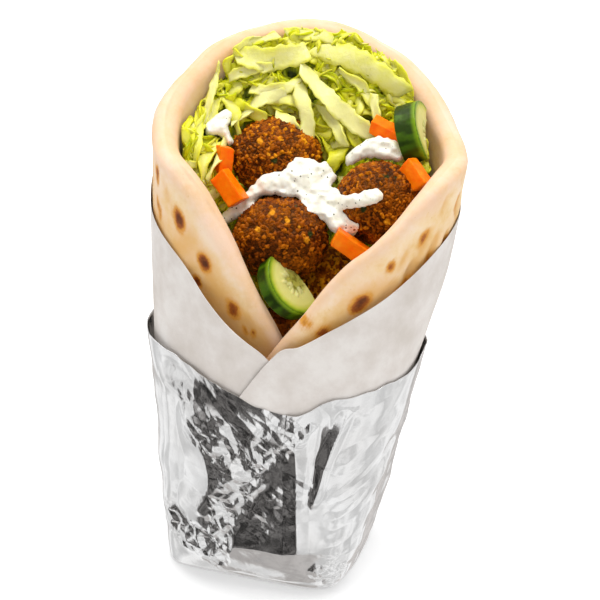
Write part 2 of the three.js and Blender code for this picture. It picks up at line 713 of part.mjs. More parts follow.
// One stroke: a flattened round bead along a smooth line, closed by a rounded tip at each end.
function strokeOfSauce(stroke, grow) {
  const valueAt = (axis, u) => curveThrough(stroke.map((knot, i) => [i, knot[axis]]), u);
  const at = (u) => [0, 1, 2, 3].map((axis) => valueAt(axis, u));
  const last = stroke.length - 1;
  const stations = [];
  for (let u = 0; u <= last; u += 0.5) {
    const [right, rise, out, radius] = at(u);
    const before = at(Math.max(0, u - 0.25));
    const after = at(Math.min(last, u + 0.25));
    const along = new THREE.Vector2(after[0] - before[0], after[1] - before[1]).normalize();
    stations.push({ right, rise, out, radius: radius + grow, along });
  }
  const tip = (station, sign, reach, share) => ({
    ...station,
    right: station.right + sign * reach * station.radius * station.along.x,
    rise: station.rise + sign * reach * station.radius * station.along.y,
    radius: station.radius * share,
  });
  const first = stations[0];
  const final = stations[stations.length - 1];
  const rings = [
    tip(first, -1, TIP_REACH, TIP_WIDTH), ...stations, tip(final, 1, TIP_REACH, TIP_WIDTH),
  ];
  const points = [];
  for (const { right, rise, out, radius, along } of rings) {
    for (let k = 0; k < BEAD_SIDES; k += 1) {
      const turn = (2 * Math.PI * k) / BEAD_SIDES;
      const across = radius * Math.cos(turn);
      const height = BEAD_FLATNESS * radius * Math.sin(turn);
      const edge = [right - along.y * across, rise + along.x * across, out + height];
      points.push(mouthPoint(...edge).toArray());
    }
  }
  const triangles = [];
  for (let i = 0; i < rings.length - 1; i += 1) {
    for (let k = 0; k < BEAD_SIDES; k += 1) {
      const next = (k + 1) % BEAD_SIDES;
      const [a, b] = [i * BEAD_SIDES + k, i * BEAD_SIDES + next];
      triangles.push([a, b + BEAD_SIDES, a + BEAD_SIDES], [a, b, b + BEAD_SIDES]);
    }
  }
  const ends = [tip(first, -1, TIP_POINT, 0), tip(final, 1, TIP_POINT, 0)];
  const capStart = points.length;
  ends.forEach(({ right, rise, out }) => points.push(mouthPoint(right, rise, out).toArray()));
  const lastRing = (rings.length - 1) * BEAD_SIDES;
  for (let k = 0; k < BEAD_SIDES; k += 1) {
    const next = (k + 1) % BEAD_SIDES;
    triangles.push([capStart, next, k], [capStart + 1, lastRing + k, lastRing + next]);
  }
  return toSolid(closedGeometry(points, triangles));
}

function sauce({ strokes }, grow = 0) {
  const parts = strokes.map((stroke) => strokeOfSauce(stroke, grow));
  return parts.reduce((joined, part) => joined.add(part));
}

// ---------------------------------------------------------------- materials and assembly

const MATERIALS = {
  bread: { color: 0xf1dcb8, roughness: 0.75, metalness: 0 },
  paper: { color: 0xe9e7e4, roughness: 0.85, metalness: 0 },
  foil: { color: 0xd6d8da, roughness: 0.22, metalness: 1 },
  falafel: { color: 0x6e3a16, roughness: 0.8, metalness: 0 },
  cucumber: { color: 0x4f8a2c, roughness: 0.4, metalness: 0 },
  carrot: { color: 0xf0701c, roughness: 0.45, metalness: 0 },
  lettuce: { color: 0xd3de7c, roughness: 0.5, metalness: 0 },
  sauce: { color: 0xf4f3ea, roughness: 0.35, metalness: 0 },
};

const pita = new THREE.Group();

function addPiece(name, material, geometry) {
  const shown = geometry.clone();
  shown.computeVertexNormals();
  const mesh = new THREE.Mesh(shown, new THREE.MeshStandardMaterial(MATERIALS[material]));
  mesh.name = name;
  pita.add(mesh);
}

addPiece("foil_cup", "foil", foil());
addPiece("paper_wrap", "paper", paper());
addPiece("flatbread", "bread", bread());

for (const ball of FALAFELS) addPiece(ball.name, "falafel", falafel(ball));
const falafelRoom = FALAFELS.map((ball) => toSolid(falafel(ball, GAP + FACET_SAG)));

for (const slice of CUCUMBERS) {
  addPiece(slice.name, "cucumber", largestBody(subtractAll(toSolid(cucumber(slice)), falafelRoom)));
}
const cucumberRoom = CUCUMBERS.map((slice) => toSolid(cucumber(slice, GAP)));

const beforeCarrots = [...falafelRoom, ...cucumberRoom];
for (const stick of CARROTS) {
  addPiece(stick.name, "carrot", largestBody(subtractAll(toSolid(carrot(stick)), beforeCarrots)));
}
const carrotRoom = CARROTS.map((stick) => toSolid(carrot(stick, GAP)));

const beforeSauces = [...beforeCarrots, ...carrotRoom];
for (const pool of SAUCES) {
  addPiece(pool.name, "sauce", largestBody(subtractAll(sauce(pool), beforeSauces)));
}
const sauceRoom = SAUCES.map((pool) => sauce(pool, GAP));

const heap = SHREDS.map(shredInBread).reduce((joined, strip) => joined.add(strip), heapCore());
addPiece("lettuce", "lettuce", largestBody(subtractAll(heap, [...beforeSauces, ...sauceRoom])));

export default pita;
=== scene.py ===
"""A falafel pita: bread rolled round lettuce, falafel, cucumber, carrot and white sauce, wrapped in
white paper and a cup of crumpled foil.

Lengths in this file are millimetres until a mesh is made, and places on the roll are an angle from
the front in degrees (90 is the left side, 180 the back, 270 the right) and a height.
"""

import itertools
import math
import random

import bpy
import numpy as np
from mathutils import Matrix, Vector
from mathutils.bvhtree import BVHTree


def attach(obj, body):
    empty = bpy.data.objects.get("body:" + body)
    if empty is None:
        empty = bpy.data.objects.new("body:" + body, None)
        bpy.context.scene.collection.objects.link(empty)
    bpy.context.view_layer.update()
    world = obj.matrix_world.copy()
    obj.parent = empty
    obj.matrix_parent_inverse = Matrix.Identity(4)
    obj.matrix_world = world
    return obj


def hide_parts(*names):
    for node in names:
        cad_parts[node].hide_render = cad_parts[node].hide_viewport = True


MM = 0.001

# ---------------- the roll, as the solids have it

# Height, centre x and y, half width, half depth, squareness and turn in degrees.
SECTIONS = (
    (0, 1.2, -0.6, 33.5, 25, 5.5, -18),
    (12, 2, -0.2, 36.2, 28.5, 4, -18),
    (45, 4.5, 5, 43, 34.6, 2.7, -16),
    (85, 8, 10, 49.1, 40.7, 2.3, -8),
    (120, 13, 14, 54.3, 45, 2.2, 0),
    (160, 15.9, 16, 56.7, 47, 2.1, 0),
    (195, 16.5, 16, 56, 47, 2.1, 0),
)
BREAD_THICKNESS = 8.8
BREAD_FLAP_THICKNESS = 4.5
BREAD_ENDS = (-24, 392)
BREAD_BOTTOM = 2.2
BREAD_RIM = (
    (-24, 70), (7, 106), (15, 115), (28, 129), (39, 141), (47, 150), (56, 158.5), (66, 164.5),
    (80, 167), (100, 172), (120, 180.5), (140, 188), (160, 191.5), (180, 192), (200, 189),
    (220, 183), (240, 173), (255, 165.5), (270, 162.5), (288, 163), (299, 162), (308, 158.7),
    (321, 151), (333, 143.3), (342, 138), (350, 130.3), (360, 117.5), (367, 109.3), (392, 76),
)
PAPER_THICKNESS = 0.3
PAPER_ENDS = (-28, 388)
PAPER_BOTTOM = 1.7
PAPER_EDGE = (
    (-28, 70), (13, 103), (25, 110.2), (41, 121.2), (54, 129.8), (69, 137), (85, 142), (100, 148),
    (140, 154), (180, 156), (220, 150), (256, 141.5), (280, 139.5), (296, 137), (312, 131.6),
    (329, 123.5), (346, 115), (359, 108.2), (368, 105.5), (388, 78),
)
FOIL_THICKNESS = 0.25
FOIL_RIM = (
    (-6, 80.8), (2, 80), (17, 83.5), (27, 87.3), (40, 90.2), (52, 92), (65, 93.2), (84, 93),
    (105, 90), (140, 86), (190, 83), (230, 82), (262, 84.5), (276, 88), (286, 89), (293, 87),
    (305, 86.3), (318, 87.8), (332, 87), (343, 85.8), (354, 80.8), (362, 80),
)
FLAP_OFFSET = 2.6
FOIL_OFFSET = 3.8
BASE_INSET = 3.6
BASE_INSET_TOP = 60
# The left flap stands in and the right one stands out, each fading over these angles.
LEFT_LAP = (32, 85)
RIGHT_LAP = (285, 335)
BASE_MIDDLE = SECTIONS[0][1:3]
DEGREE = math.pi / 180
# The roll's mean radius, and the mm round it for each degree.
MEAN_RADIUS = 50
ARC = MEAN_RADIUS * DEGREE

# The slanted plane of the mouth: mm to the right, mm up the slope and mm out, from this origin.
MOUTH_ORIGIN = np.array((12.5, 13.0, 100.0))
SLOPE = math.pi / 6
RIGHT = np.array((1.0, 0.0, 0.0))
RISE = np.array((0.0, math.sin(SLOPE), math.cos(SLOPE)))
OUT = np.array((0.0, -math.cos(SLOPE), math.sin(SLOPE)))


# ---------------- numbers and noise

# Numbers that mix the bits of a cell's place well, and what a cell's number starts from.
HASH_PRIMES = (73856093, 19349663, 83492791)
SEED_STEP, SEED_START = 374761393, 668265263
EACH_MIX, LAST_MIX = np.uint64(2654435761), np.uint64(2246822519)
EACH_SHIFT, LAST_SHIFT = np.uint64(15), np.uint64(13)
LOW_BITS = np.uint64(2**32 - 1)
# How a grid of triangles leans against a square one, there and back.
SKEW = (math.sqrt(3) - 1) / 2
UNSKEW = (3 - math.sqrt(3)) / 6


def smooth_step(start, end, value):
    t = np.clip((np.asarray(value, float) - start) / (end - start), 0, 1)
    return t * t * (3 - 2 * t)


def plateau(value, start, full, fading, end):
    """1 from full to fading, and smoothly down to 0 at start and end."""
    return smooth_step(start, full, value) * (1 - smooth_step(fading, end, value))


def curve_through(knots, x):
    """A smooth curve through knots (x, y), held level beyond both ends."""
    xs, ys = np.array(knots, float).T
    x = np.clip(np.asarray(x, float), xs[0], xs[-1])
    index = np.arange(len(xs))
    before = np.maximum(index - 1, 0)
    after = np.minimum(index + 1, len(xs) - 1)
    slopes = (ys[after] - ys[before]) / (xs[after] - xs[before])
    k = np.clip(np.searchsorted(xs, x, side="right") - 1, 0, len(xs) - 2)
    span = xs[k + 1] - xs[k]
    t = (x - xs[k]) / span
    rise = ys[k + 1] - ys[k]
    bend0 = slopes[k] * span
    bend1 = slopes[k + 1] * span
    return ys[k] + bend0 * t + (3 * rise - 2 * bend0 - bend1) * t**2 + (bend0 + bend1 - 2 * rise) * t**3


def turn_axes(u, v, lean):
    """Places (u, v) measured along and across a direction that leans from the first axis."""
    return u * math.cos(lean) + v * math.sin(lean), v * math.cos(lean) - u * math.sin(lean)


def line_distance(u, v, start, end):
    """Distance from places (u, v) to the line from start to end, and how far along it from 0 to 1."""
    du, dv = end[0] - start[0], end[1] - start[1]
    along = np.clip(((u - start[0]) * du + (v - start[1]) * dv) / (du * du + dv * dv), 0, 1)
    return np.hypot(u - start[0] - along * du, v - start[1] - along * dv), along


def hashed(cells, seed):
    """A repeatable number from 0 to 1 for every integer cell, given along the last axis."""
    mixed = np.full(cells.shape[:-1], seed * SEED_STEP + SEED_START, np.uint64)
    for axis, prime in zip(range(cells.shape[-1]), HASH_PRIMES):
        mixed ^= (cells[..., axis].astype(np.int64) * prime).astype(np.uint64)
        mixed = (mixed * EACH_MIX) & LOW_BITS
        mixed ^= mixed >> EACH_SHIFT
    mixed = (mixed * LAST_MIX) & LOW_BITS
    mixed ^= mixed >> LAST_SHIFT
    return mixed.astype(float) / 2**32


def noise(points, size, seed):
    """Smooth random values from -1 to 1 whose lumps are about size across."""
    scaled = np.asarray(points, float) / size
    cell = np.floor(scaled).astype(np.int64)
    part = scaled - cell
    part = part * part * (3 - 2 * part)
    dimensions = scaled.shape[-1]
    total = np.zeros(scaled.shape[:-1])
    for corner in range(2**dimensions):
        step = np.array([(corner >> axis) & 1 for axis in range(dimensions)])
        weight = np.prod(np.where(step, part, 1 - part), axis=-1)
        total += weight * hashed(cell + step, seed)
    return 2 * total - 1


def noises(points, *layers):
    """The sum of layers of noise, each given as (height, size, seed)."""
    return sum(height * noise(points, size, seed) for height, size, seed in layers)


def noise_vectors(points, size, seed):
    return np.stack([noise(points, size, seed + k) for k in range(3)], -1)


def grains(points, size, seed):
    """Round grains about size across: how far each point is from its grain's centre, over size,
    its bump from 0 at the grain's edge to 1, and a number from 0 to 1 for each grain."""
    scaled = np.asarray(points, float) / size
    cell = np.floor(scaled).astype(np.int64)
    nearest = np.full(len(scaled), 9.0)
    second = nearest.copy()
    label = np.zeros(len(scaled))
    for step in itertools.product((-1, 0, 1), repeat=3):
        near = cell + step
        jitter = np.stack([hashed(near, seed + k) for k in range(3)], -1)
        distance = np.linalg.norm(near + jitter - scaled, axis=-1)
        closer = distance < nearest
        second = np.where(closer, nearest, np.minimum(second, distance))
        label = np.where(closer, hashed(near, seed + 7), label)
        nearest = np.where(closer, distance, nearest)
    return nearest, np.clip((second - nearest) / 0.5, 0, 1), label


def facets(points, size, seed, warp=0.2):
    """Flat random facets about size across that meet along creases, from -0.5 to 0.5. points are
    places in a plane."""
    shift = np.stack([noise(points, 1.7 * size, seed + k) for k in (31, 57)], -1)
    warped = (points + warp * size * shift) / size
    x, y = warped[..., 0], warped[..., 1]
    i = np.floor(x + (x + y) * SKEW).astype(np.int64)
    j = np.floor(y + (x + y) * SKEW).astype(np.int64)
    a = x - i + (i + j) * UNSKEW
    b = y - j + (i + j) * UNSKEW
    u = a + (a + b) * SKEW
    v = b + (a + b) * SKEW
    lower = u > v
    corners = [np.stack([i, j], -1), np.stack([i + lower, j + ~lower], -1), np.stack([i + 1, j + 1], -1)]
    large, small = np.maximum(u, v), np.minimum(u, v)
    weights = [1 - large, large - small, small]
    return sum(weight * hashed(corner, seed) for weight, corner in zip(weights, corners)) - 0.5


# ---------------- the roll's surface


def section_at(z):
    """Centre x and y, half width, half depth, squareness and turn of the roll at a height."""
    heights, *measures = zip(*SECTIONS)
    return [curve_through(list(zip(heights, values)), z) for values in measures]


def roll_point(angle, z, offset):
    """The point at an angle round the roll and a height, moved outwards by offset."""
    angle, z, offset = np.broadcast_arrays(angle, z, offset)
    x, y, width, depth, square, turn = section_at(z)
    turned = (-angle - turn) * DEGREE
    across = np.abs(np.sin(turned)) / (width + offset)
    along = np.abs(np.cos(turned)) / (depth + offset)
    radius = (across**square + along**square) ** (-1 / square)
    right, front = radius * np.sin(angle * DEGREE), radius * np.cos(angle * DEGREE)
    return np.stack([x - right, y - front, z + 0 * radius], -1)


def base_inset(z):
    return BASE_INSET * (1 - smooth_step(0, BASE_INSET_TOP, z))


def flap_lap(angle):
    left, right = 1 - smooth_step(*LEFT_LAP, angle), smooth_step(*RIGHT_LAP, angle)
    return -FLAP_OFFSET * left + FLAP_OFFSET * right


def bread_outer(angle, z):
    wave = 0.3 * np.sin(angle * 0.11 + z * 0.05) * np.sin(z * 0.09 + angle * 0.04 + 1)
    wave = wave * plateau(angle, 30, 60, 300, 330)
    bulge = 1.5 * plateau(angle, 248, 278, 300, 330) * smooth_step(145, 163, z)
    return -1.4 + 1.7 * smooth_step(150, 178, z) + flap_lap(angle) - base_inset(z) + wave + bulge


def bread_thickness(angle):
    middle = plateau(angle, 15, 45, 288, 335)
    return BREAD_FLAP_THICKNESS + (BREAD_THICKNESS - BREAD_FLAP_THICKNESS) * middle


def paper_outer(angle, z):
    over_flap = 2 * FLAP_OFFSET * (1 - smooth_step(27, 60, angle))
    lap = flap_lap(angle) + over_flap + 0.9 * smooth_step(300, 330, angle)
    aside = plateau(angle, 60, 95, 120, 200) * smooth_step(115, 145, z)
    return 0.3 + lap - base_inset(z) + 0.3 * aside


def foil_outer(angle, z):
    front = 1 - smooth_step(20, 75, np.minimum(angle, 360 - angle))
    lapped = FOIL_OFFSET * front * smooth_step(0, 60, z)
    flare = np.where(angle < 180, 1.2, 0.4) * smooth_step(76, 92, z) * (1 - front)
    return 1.6 + lapped + flare


def mouth_point(right, rise, out):
    right, rise, out = np.broadcast_arrays(right, rise, out)
    return MOUTH_ORIGIN + right[..., None] * RIGHT + rise[..., None] * RISE + out[..., None] * OUT


def in_mouth(points):
    """How far points lie to the right, up the slope and out."""
    return [(points - MOUTH_ORIGIN) @ axis for axis in (RIGHT, RISE, OUT)]


# ---------------- meshes


def add_object(name, data):
    thing = bpy.data.objects.new(name, data)
    bpy.context.scene.collection.objects.link(thing)
    return thing


def new_piece(name, points, faces, material):
    """A mesh object from points in mm."""
    mesh = bpy.data.meshes.new(name)
    mesh.from_pydata((np.asarray(points) * MM).tolist(), [], [list(face) for face in faces])
    mesh.validate()
    mesh.shade_smooth()
    mesh.materials.append(material)
    return add_object(name, mesh)


def stands_for(piece, node):
    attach(piece, "root")
    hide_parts(node)


def places(piece):
    """The vertices of a piece in mm, and their normals."""
    vertices = piece.data.vertices
    values = np.empty((2, 3 * len(vertices)))
    vertices.foreach_get("co", values[0])
    vertices.foreach_get("normal", values[1])
    return values[0].reshape(-1, 3) / MM, values[1].reshape(-1, 3)


def move_to(piece, points):
    piece.data.vertices.foreach_set("co", (points * MM).ravel())
    piece.data.update()


def displace(piece, field):
    """Moves every vertex along its normal by field(points), in mm."""
    points, normals = places(piece)
    move_to(piece, points + normals * field(points)[:, None])


def store(piece, **attributes):
    """Numbers for every vertex that the material can read by their names."""
    for name, values in attributes.items():
        attribute = piece.data.attributes.new(name, "FLOAT", "POINT")
        attribute.data.foreach_set("value", np.asarray(values, np.float32).ravel())


def remesh(piece, voxel, smoothing):
    """Turns a coarse closed mesh into an even fine one with its edges a little rounded."""
    modifier = piece.modifiers.new("fine", "REMESH")
    modifier.mode = "VOXEL"
    modifier.voxel_size = voxel * MM
    soften = piece.modifiers.new("soften", "SMOOTH")
    soften.factor = 0.5
    soften.iterations = smoothing
    coarse = piece.data
    graph = bpy.context.evaluated_depsgraph_get()
    fine = bpy.data.meshes.new_from_object(piece.evaluated_get(graph))
    piece.modifiers.clear()
    piece.data = fine
    bpy.data.meshes.remove(coarse)
    fine.shade_smooth()


def grid_faces(rows, columns, closed=False, flipped=False, start=0):
    """The quads of a grid whose points are stored row by row."""
    faces = []
    for i in range(rows if closed else rows - 1):
        below = start + i * columns
        above = start + ((i + 1) % rows) * columns
        for j in range(columns - 1):
            quad = (below + j, above + j, above + j + 1, below + j + 1)
            faces.append(quad[::-1] if flipped else quad)
    return faces


def sheet_faces(rows, columns):
    """The faces of a thin solid whose points are a grid and then the same grid on its back."""
    back = rows * columns
    faces = grid_faces(rows, columns) + grid_faces(rows, columns, flipped=True, start=back)
    for i in range(rows - 1):
        a, b = i * columns, (i + 1) * columns
        c, d = a + columns - 1, b + columns - 1
        faces += [(a, back + a, back + b, b), (d, back + d, back + c, c)]
    last = back - columns
    for j in range(columns - 1):
        k = last + j
        faces += [(j + 1, back + j + 1, back + j, j), (k, back + k, back + k + 1, k + 1)]
    return faces


def revolved_piece(name, grid, first, last, material, flipped=False):
    """A piece whose grid holds a column of points for each angle round it, running up its outside.
    It is closed by the point first before the columns' starts and the point last after their ends."""
    columns, per_column = grid.shape[:2]
    points = np.concatenate([grid.reshape(-1, 3), [first, last]])
    faces = grid_faces(columns, per_column, closed=True, flipped=flipped)
    for i in range(columns):
        here, following = i * per_column, ((i + 1) % columns) * per_column
        faces.append((len(points) - 2, here, following))
        faces.append((len(points) - 1, following + per_column - 1, here + per_column - 1))
    return new_piece(name, points, faces, material)


# ---------------- shader nodes


def colour(code):
    """A linear colour from a hex code."""
    parts = [int(code[k : k + 2], 16) / 255 for k in (1, 3, 5)]
    return tuple(p / 12.92 if p < 0.04045 else ((p + 0.055) / 1.055) ** 2.4 for p in parts) + (1.0,)


class Value:
    """A node's output, with sums, differences and products that make further nodes."""

    def __init__(self, nodes, socket):
        self.nodes = nodes
        self.socket = socket

    def __add__(self, other):
        return self.nodes.maths("ADD", self, other)

    def __sub__(self, other):
        return self.nodes.maths("SUBTRACT", self, other)

    def __mul__(self, other):
        return self.nodes.maths("MULTIPLY", self, other)


class Nodes:
    """Makes nodes in one tree and gives one output of each."""

    def __init__(self, tree):
        self.tree = tree

    def connect(self, value, socket):
        """Links a node's output to a socket, or sets the socket to a number, vector or hex code."""
        if isinstance(value, Value):
            self.tree.links.new(value.socket, socket)
        else:
            socket.default_value = colour(value) if isinstance(value, str) else value

    def node(self, kind, inputs=(), output=0, **properties):
        """Makes a shader node of a kind and gives one of its outputs."""
        made = self.tree.nodes.new("ShaderNode" + kind)
        for name, value in properties.items():
            setattr(made, name, value)
        for key, value in dict(inputs).items():
            self.connect(value, made.inputs[key])
        return Value(self, made.outputs[output])

    def maths(self, operation, first, second=0.5):
        return self.node("Math", {0: first, 1: second}, operation=operation)

    def remap(self, value, low, high, to_low=0.0, to_high=1.0):
        """Brings a value smoothly from the range low to high to the range to_low to to_high."""
        inputs = {"Value": value, "From Min": low, "From Max": high, "To Min": to_low, "To Max": to_high}
        return self.node("MapRange", inputs, interpolation_type="SMOOTHSTEP")


class Surface(Nodes):
    """A material built from nodes round one Principled shader."""

    def __init__(self, name, **settings):
        self.material = bpy.data.materials.new(name)
        self.material.use_nodes = True
        super().__init__(self.material.node_tree)
        self.inputs = self.tree.nodes["Principled BSDF"].inputs
        for socket, value in settings.items():
            self.inputs[socket.replace("_", " ")].default_value = value
        self.place = self.node("TexCoord", output="Object")

    def attribute(self, name):
        return self.node("Attribute", output="Fac", attribute_name=name)

    def noise(self, size, detail=3.0, rough=0.6):
        """Soft noise from 0 to 1 whose lumps are about size mm across."""
        inputs = {"Vector": self.place, "Scale": 1 / (size * MM), "Detail": detail, "Roughness": rough}
        return self.node("TexNoise", inputs, "Fac")

    def ramp(self, value, *stops):
        """Colours along a value: stops are (position, hex code)."""
        made = self.node("ValToRGB", {"Fac": value}, "Color")
        elements = made.socket.node.color_ramp.elements
        while len(elements) < len(stops):
            elements.new(0.5)
        for element, (position, code) in zip(elements, stops):
            element.position = position
            element.color = colour(code)
        return made

    def mix(self, share, first, second):
        return self.node("Mix", {0: share, 6: first, 7: second}, 2, data_type="RGBA")

    def paint(self, base):
        self.connect(base, self.inputs["Base Color"])

    def bump(self, height, depth, strength):
        """Relief of depth mm for a height from 0 to 1, on top of any bump made before."""
        inputs = {"Height": height, "Distance": depth * MM, "Strength": strength}
        normal = self.inputs["Normal"]
        if normal.is_linked:
            inputs["Normal"] = Value(self, normal.links[0].from_socket)
        self.connect(self.node("Bump", inputs), normal)


# ---------------- materials


def bread_material():
    look = Surface("bread", Roughness=0.6, Specular_IOR_Level=0.3, Subsurface_Weight=0.1,
                   Subsurface_Scale=0.003, Subsurface_Radius=(1.0, 0.6, 0.35))
    base = look.ramp(look.noise(15, 4) * 0.72 + look.noise(2.4, 5, 0.65) * 0.28,
                     (0.36, "#e8c68c"), (0.47, "#f0d7ab"), (0.6, "#f5e2ca"))
    # Mixed towards a warm brown by the warmth attribute, which holds the bread's own warm tone and painted
    # shade along the paper's edge, low on the flaps and in the creases.
    base = look.mix(look.attribute("warmth") * 0.8, base, "#dda44e")
    base = look.mix(look.attribute("rim") * 0.5, base, "#e4b79c")
    spot = look.attribute("toast")
    ragged = (look.noise(3.8, 4, 0.65) - 0.5) * 0.9
    toast = spot + ragged * look.remap(spot, 0.02, 0.3)
    for low, high, code in ((0.02, 0.46, "#d8963a"), (0.4, 0.74, "#a35512"), (0.66, 1.05, "#5c2a07")):
        base = look.mix(look.remap(toast, low, high), base, code)
    speck = look.remap(look.noise(1.0, 2, 0.5), 0.72, 0.78)
    look.paint(look.mix(speck * 0.35, base, "#c07f35"))
    look.bump(look.noise(6, 4), 0.6, 0.5)
    look.bump(look.noise(0.8), 0.12, 0.5)
    return look.material


def paper_material():
    look = Surface("paper", Roughness=0.8, Specular_IOR_Level=0.3)
    look.paint(look.ramp(look.noise(20) * 0.85 + look.noise(1.2, 4, 0.7) * 0.15,
                         (0.36, "#cbc3bb"), (0.5, "#d5cec8"), (0.62, "#dfdad5")))
    look.bump(look.noise(9, 3, 0.5), 0.5, 0.35)
    look.bump(look.noise(0.7, 3, 0.7), 0.05, 0.4)
    return look.material


def foil_material():
    look = Surface("foil", Metallic=1.0, Roughness=0.13)
    look.paint(look.ramp(look.noise(18, 3, 0.5), (0.3, "#e9e8e7"), (0.7, "#f6f6f6")))
    look.bump(look.noise(2.2, 3, 0.55), 0.09, 0.6)
    return look.material


def falafel_material():
    look = Surface("falafel", Roughness=0.42, Specular_IOR_Level=0.22,
                   Specular_Tint=(1.0, 0.5, 0.16, 1))
    base = look.ramp(look.attribute("tone") + (look.noise(0.9) - 0.5) * 0.5, (0.0, "#3a1401"),
                     (0.34, "#6c2f03"), (0.62, "#994c05"), (0.85, "#ca780c"), (1.0, "#efa51a"))
    base = look.mix(look.remap(look.noise(8), 0.42, 0.66) * 0.3, base, "#b3640a")
    # Painted shade: the crumb is mixed towards near black where its height is low, in the crevices between
    # crumbs.
    painted_crevice_shade = look.remap(look.attribute("height"), 0.12, 0.55, 1.0, 0.0)
    base = look.mix(painted_crevice_shade * 0.85, base, "#250b02")
    base = look.mix(look.attribute("chickpea"), base, "#e0941c")
    look.paint(look.mix(look.attribute("herb"), base, "#1f2f12"))
    look.bump(look.noise(0.5, 3, 0.7), 0.2, 0.8)
    return look.material


def cucumber_material():
    look = Surface("cucumber", Roughness=0.32, Specular_IOR_Level=0.28, Subsurface_Weight=0.1,
                   Subsurface_Scale=0.002, Specular_Tint=(0.85, 1.0, 0.5, 1))
    radial = look.attribute("radial")
    face = look.ramp(radial + (look.noise(3, 3, 0.5) - 0.5) * 0.05, (0.0, "#a5a244"),
                     (0.3, "#aeab50"), (0.44, "#cdc97a"), (0.72, "#cdc974"), (0.85, "#b6ba46"),
                     (0.93, "#7f981a"), (0.985, "#47640a"))
    seedy = look.remap(radial, 0.22, 0.46, 1.0, 0.0) * look.remap(look.noise(2.2), 0.46, 0.62)
    face = look.mix(seedy * 0.75, face, "#66641c")
    face = look.mix(look.attribute("seed") * 0.45, face, "#e6e4a4")
    streak = look.remap(look.attribute("stripe") + (look.noise(2) - 0.5) * 0.4, 0.3, 0.8)
    rind = look.mix(streak, "#1c3003", "#3a5a06")
    rind = look.mix(look.remap(look.attribute("depth"), 0.3, 2.4, 1.0, 0.0) * 0.8, rind, "#7a9a16")
    look.paint(look.mix(look.attribute("rind"), face, rind))
    look.bump(look.noise(1.1), 0.12, 0.6)
    return look.material


def carrot_material():
    look = Surface("carrot", Roughness=0.36, Specular_IOR_Level=0.22, Subsurface_Weight=0.2,
                   Subsurface_Scale=0.002, Subsurface_Radius=(1.0, 0.35, 0.05),
                   Specular_Tint=(1.0, 0.75, 0.45, 1))
    look.paint(look.ramp(look.noise(4, 4), (0.3, "#ff6301"), (0.52, "#ff7a04"), (0.75, "#ff9518")))
    look.bump(look.noise(0.9), 0.14, 0.6)
    return look.material


def leaf_material(name):
    look = Surface(name, Roughness=0.3, Specular_IOR_Level=0.3, Subsurface_Weight=0.3,
                   Subsurface_Scale=0.0025, Subsurface_Radius=(0.9, 1.0, 0.3),
                   Specular_Tint=(1.0, 1.0, 0.75, 1))
    tone = look.attribute("tone") + (look.noise(3.5, 4) - 0.5) * 0.45
    base = look.ramp(tone, (0.0, "#3a4604"), (0.14, "#96a208"), (0.32, "#ced20c"), (0.52, "#e0dd2e"),
                     (0.75, "#e6e35e"), (1.0, "#ede999"))
    speck = look.remap(look.noise(1.1, 2, 0.5), 0.68, 0.78)
    look.paint(look.mix(speck * 0.3, base, "#a2ac22"))
    look.bump(look.noise(2.4), 0.5, 0.7)
    look.bump(look.noise(0.8), 0.14, 0.7)
    return look.material


def sauce_material():
    look = Surface("sauce", Roughness=0.3, Subsurface_Weight=0.15, Subsurface_Scale=0.002,
                   Subsurface_Radius=(1.0, 0.95, 0.8))
    base = look.ramp(look.noise(5), (0.3, "#f1eedb"), (0.7, "#fcfaee"))
    base = look.mix(look.remap(look.noise(2.4), 0.54, 0.72) * 0.3, base, "#a9b48a")
    dots = look.node("TexVoronoi", {"Vector": look.place, "Scale": 1 / (1.9 * MM)}, "Distance")
    fleck = look.remap(dots, 0.22, 0.13) * look.remap(look.noise(2.0, 1, 0.5), 0.46, 0.58)
    look.paint(look.mix(fleck, base, "#35401c"))
    look.bump(look.noise(2.6), 0.4, 0.5)
    return look.material


# ---------------- rolled sheets

# Where the rows of a rounded edge lie, as shares of its rounding.
EDGE_SHARES = np.array((0, 0.03, 0.12, 0.3, 0.6))
LOWER_ROWS = 8
# Angles between which the columns lie at the back's spacing.
BACK_ENDS = (62, 290)
# The most of a sheet's height that its fine rows take up, and the thinnest share of its edge.
FINE_SHARE = 0.85
THINNEST = 0.04


def spread(*stops):
    """Angles in even steps between stops, each stop being (angle, steps up to the next one)."""
    parts = [np.linspace(a, b, steps, endpoint=False) for (a, steps), (b, _) in zip(stops, stops[1:])]
    return np.concatenate(parts + [[stops[-1][0]]])


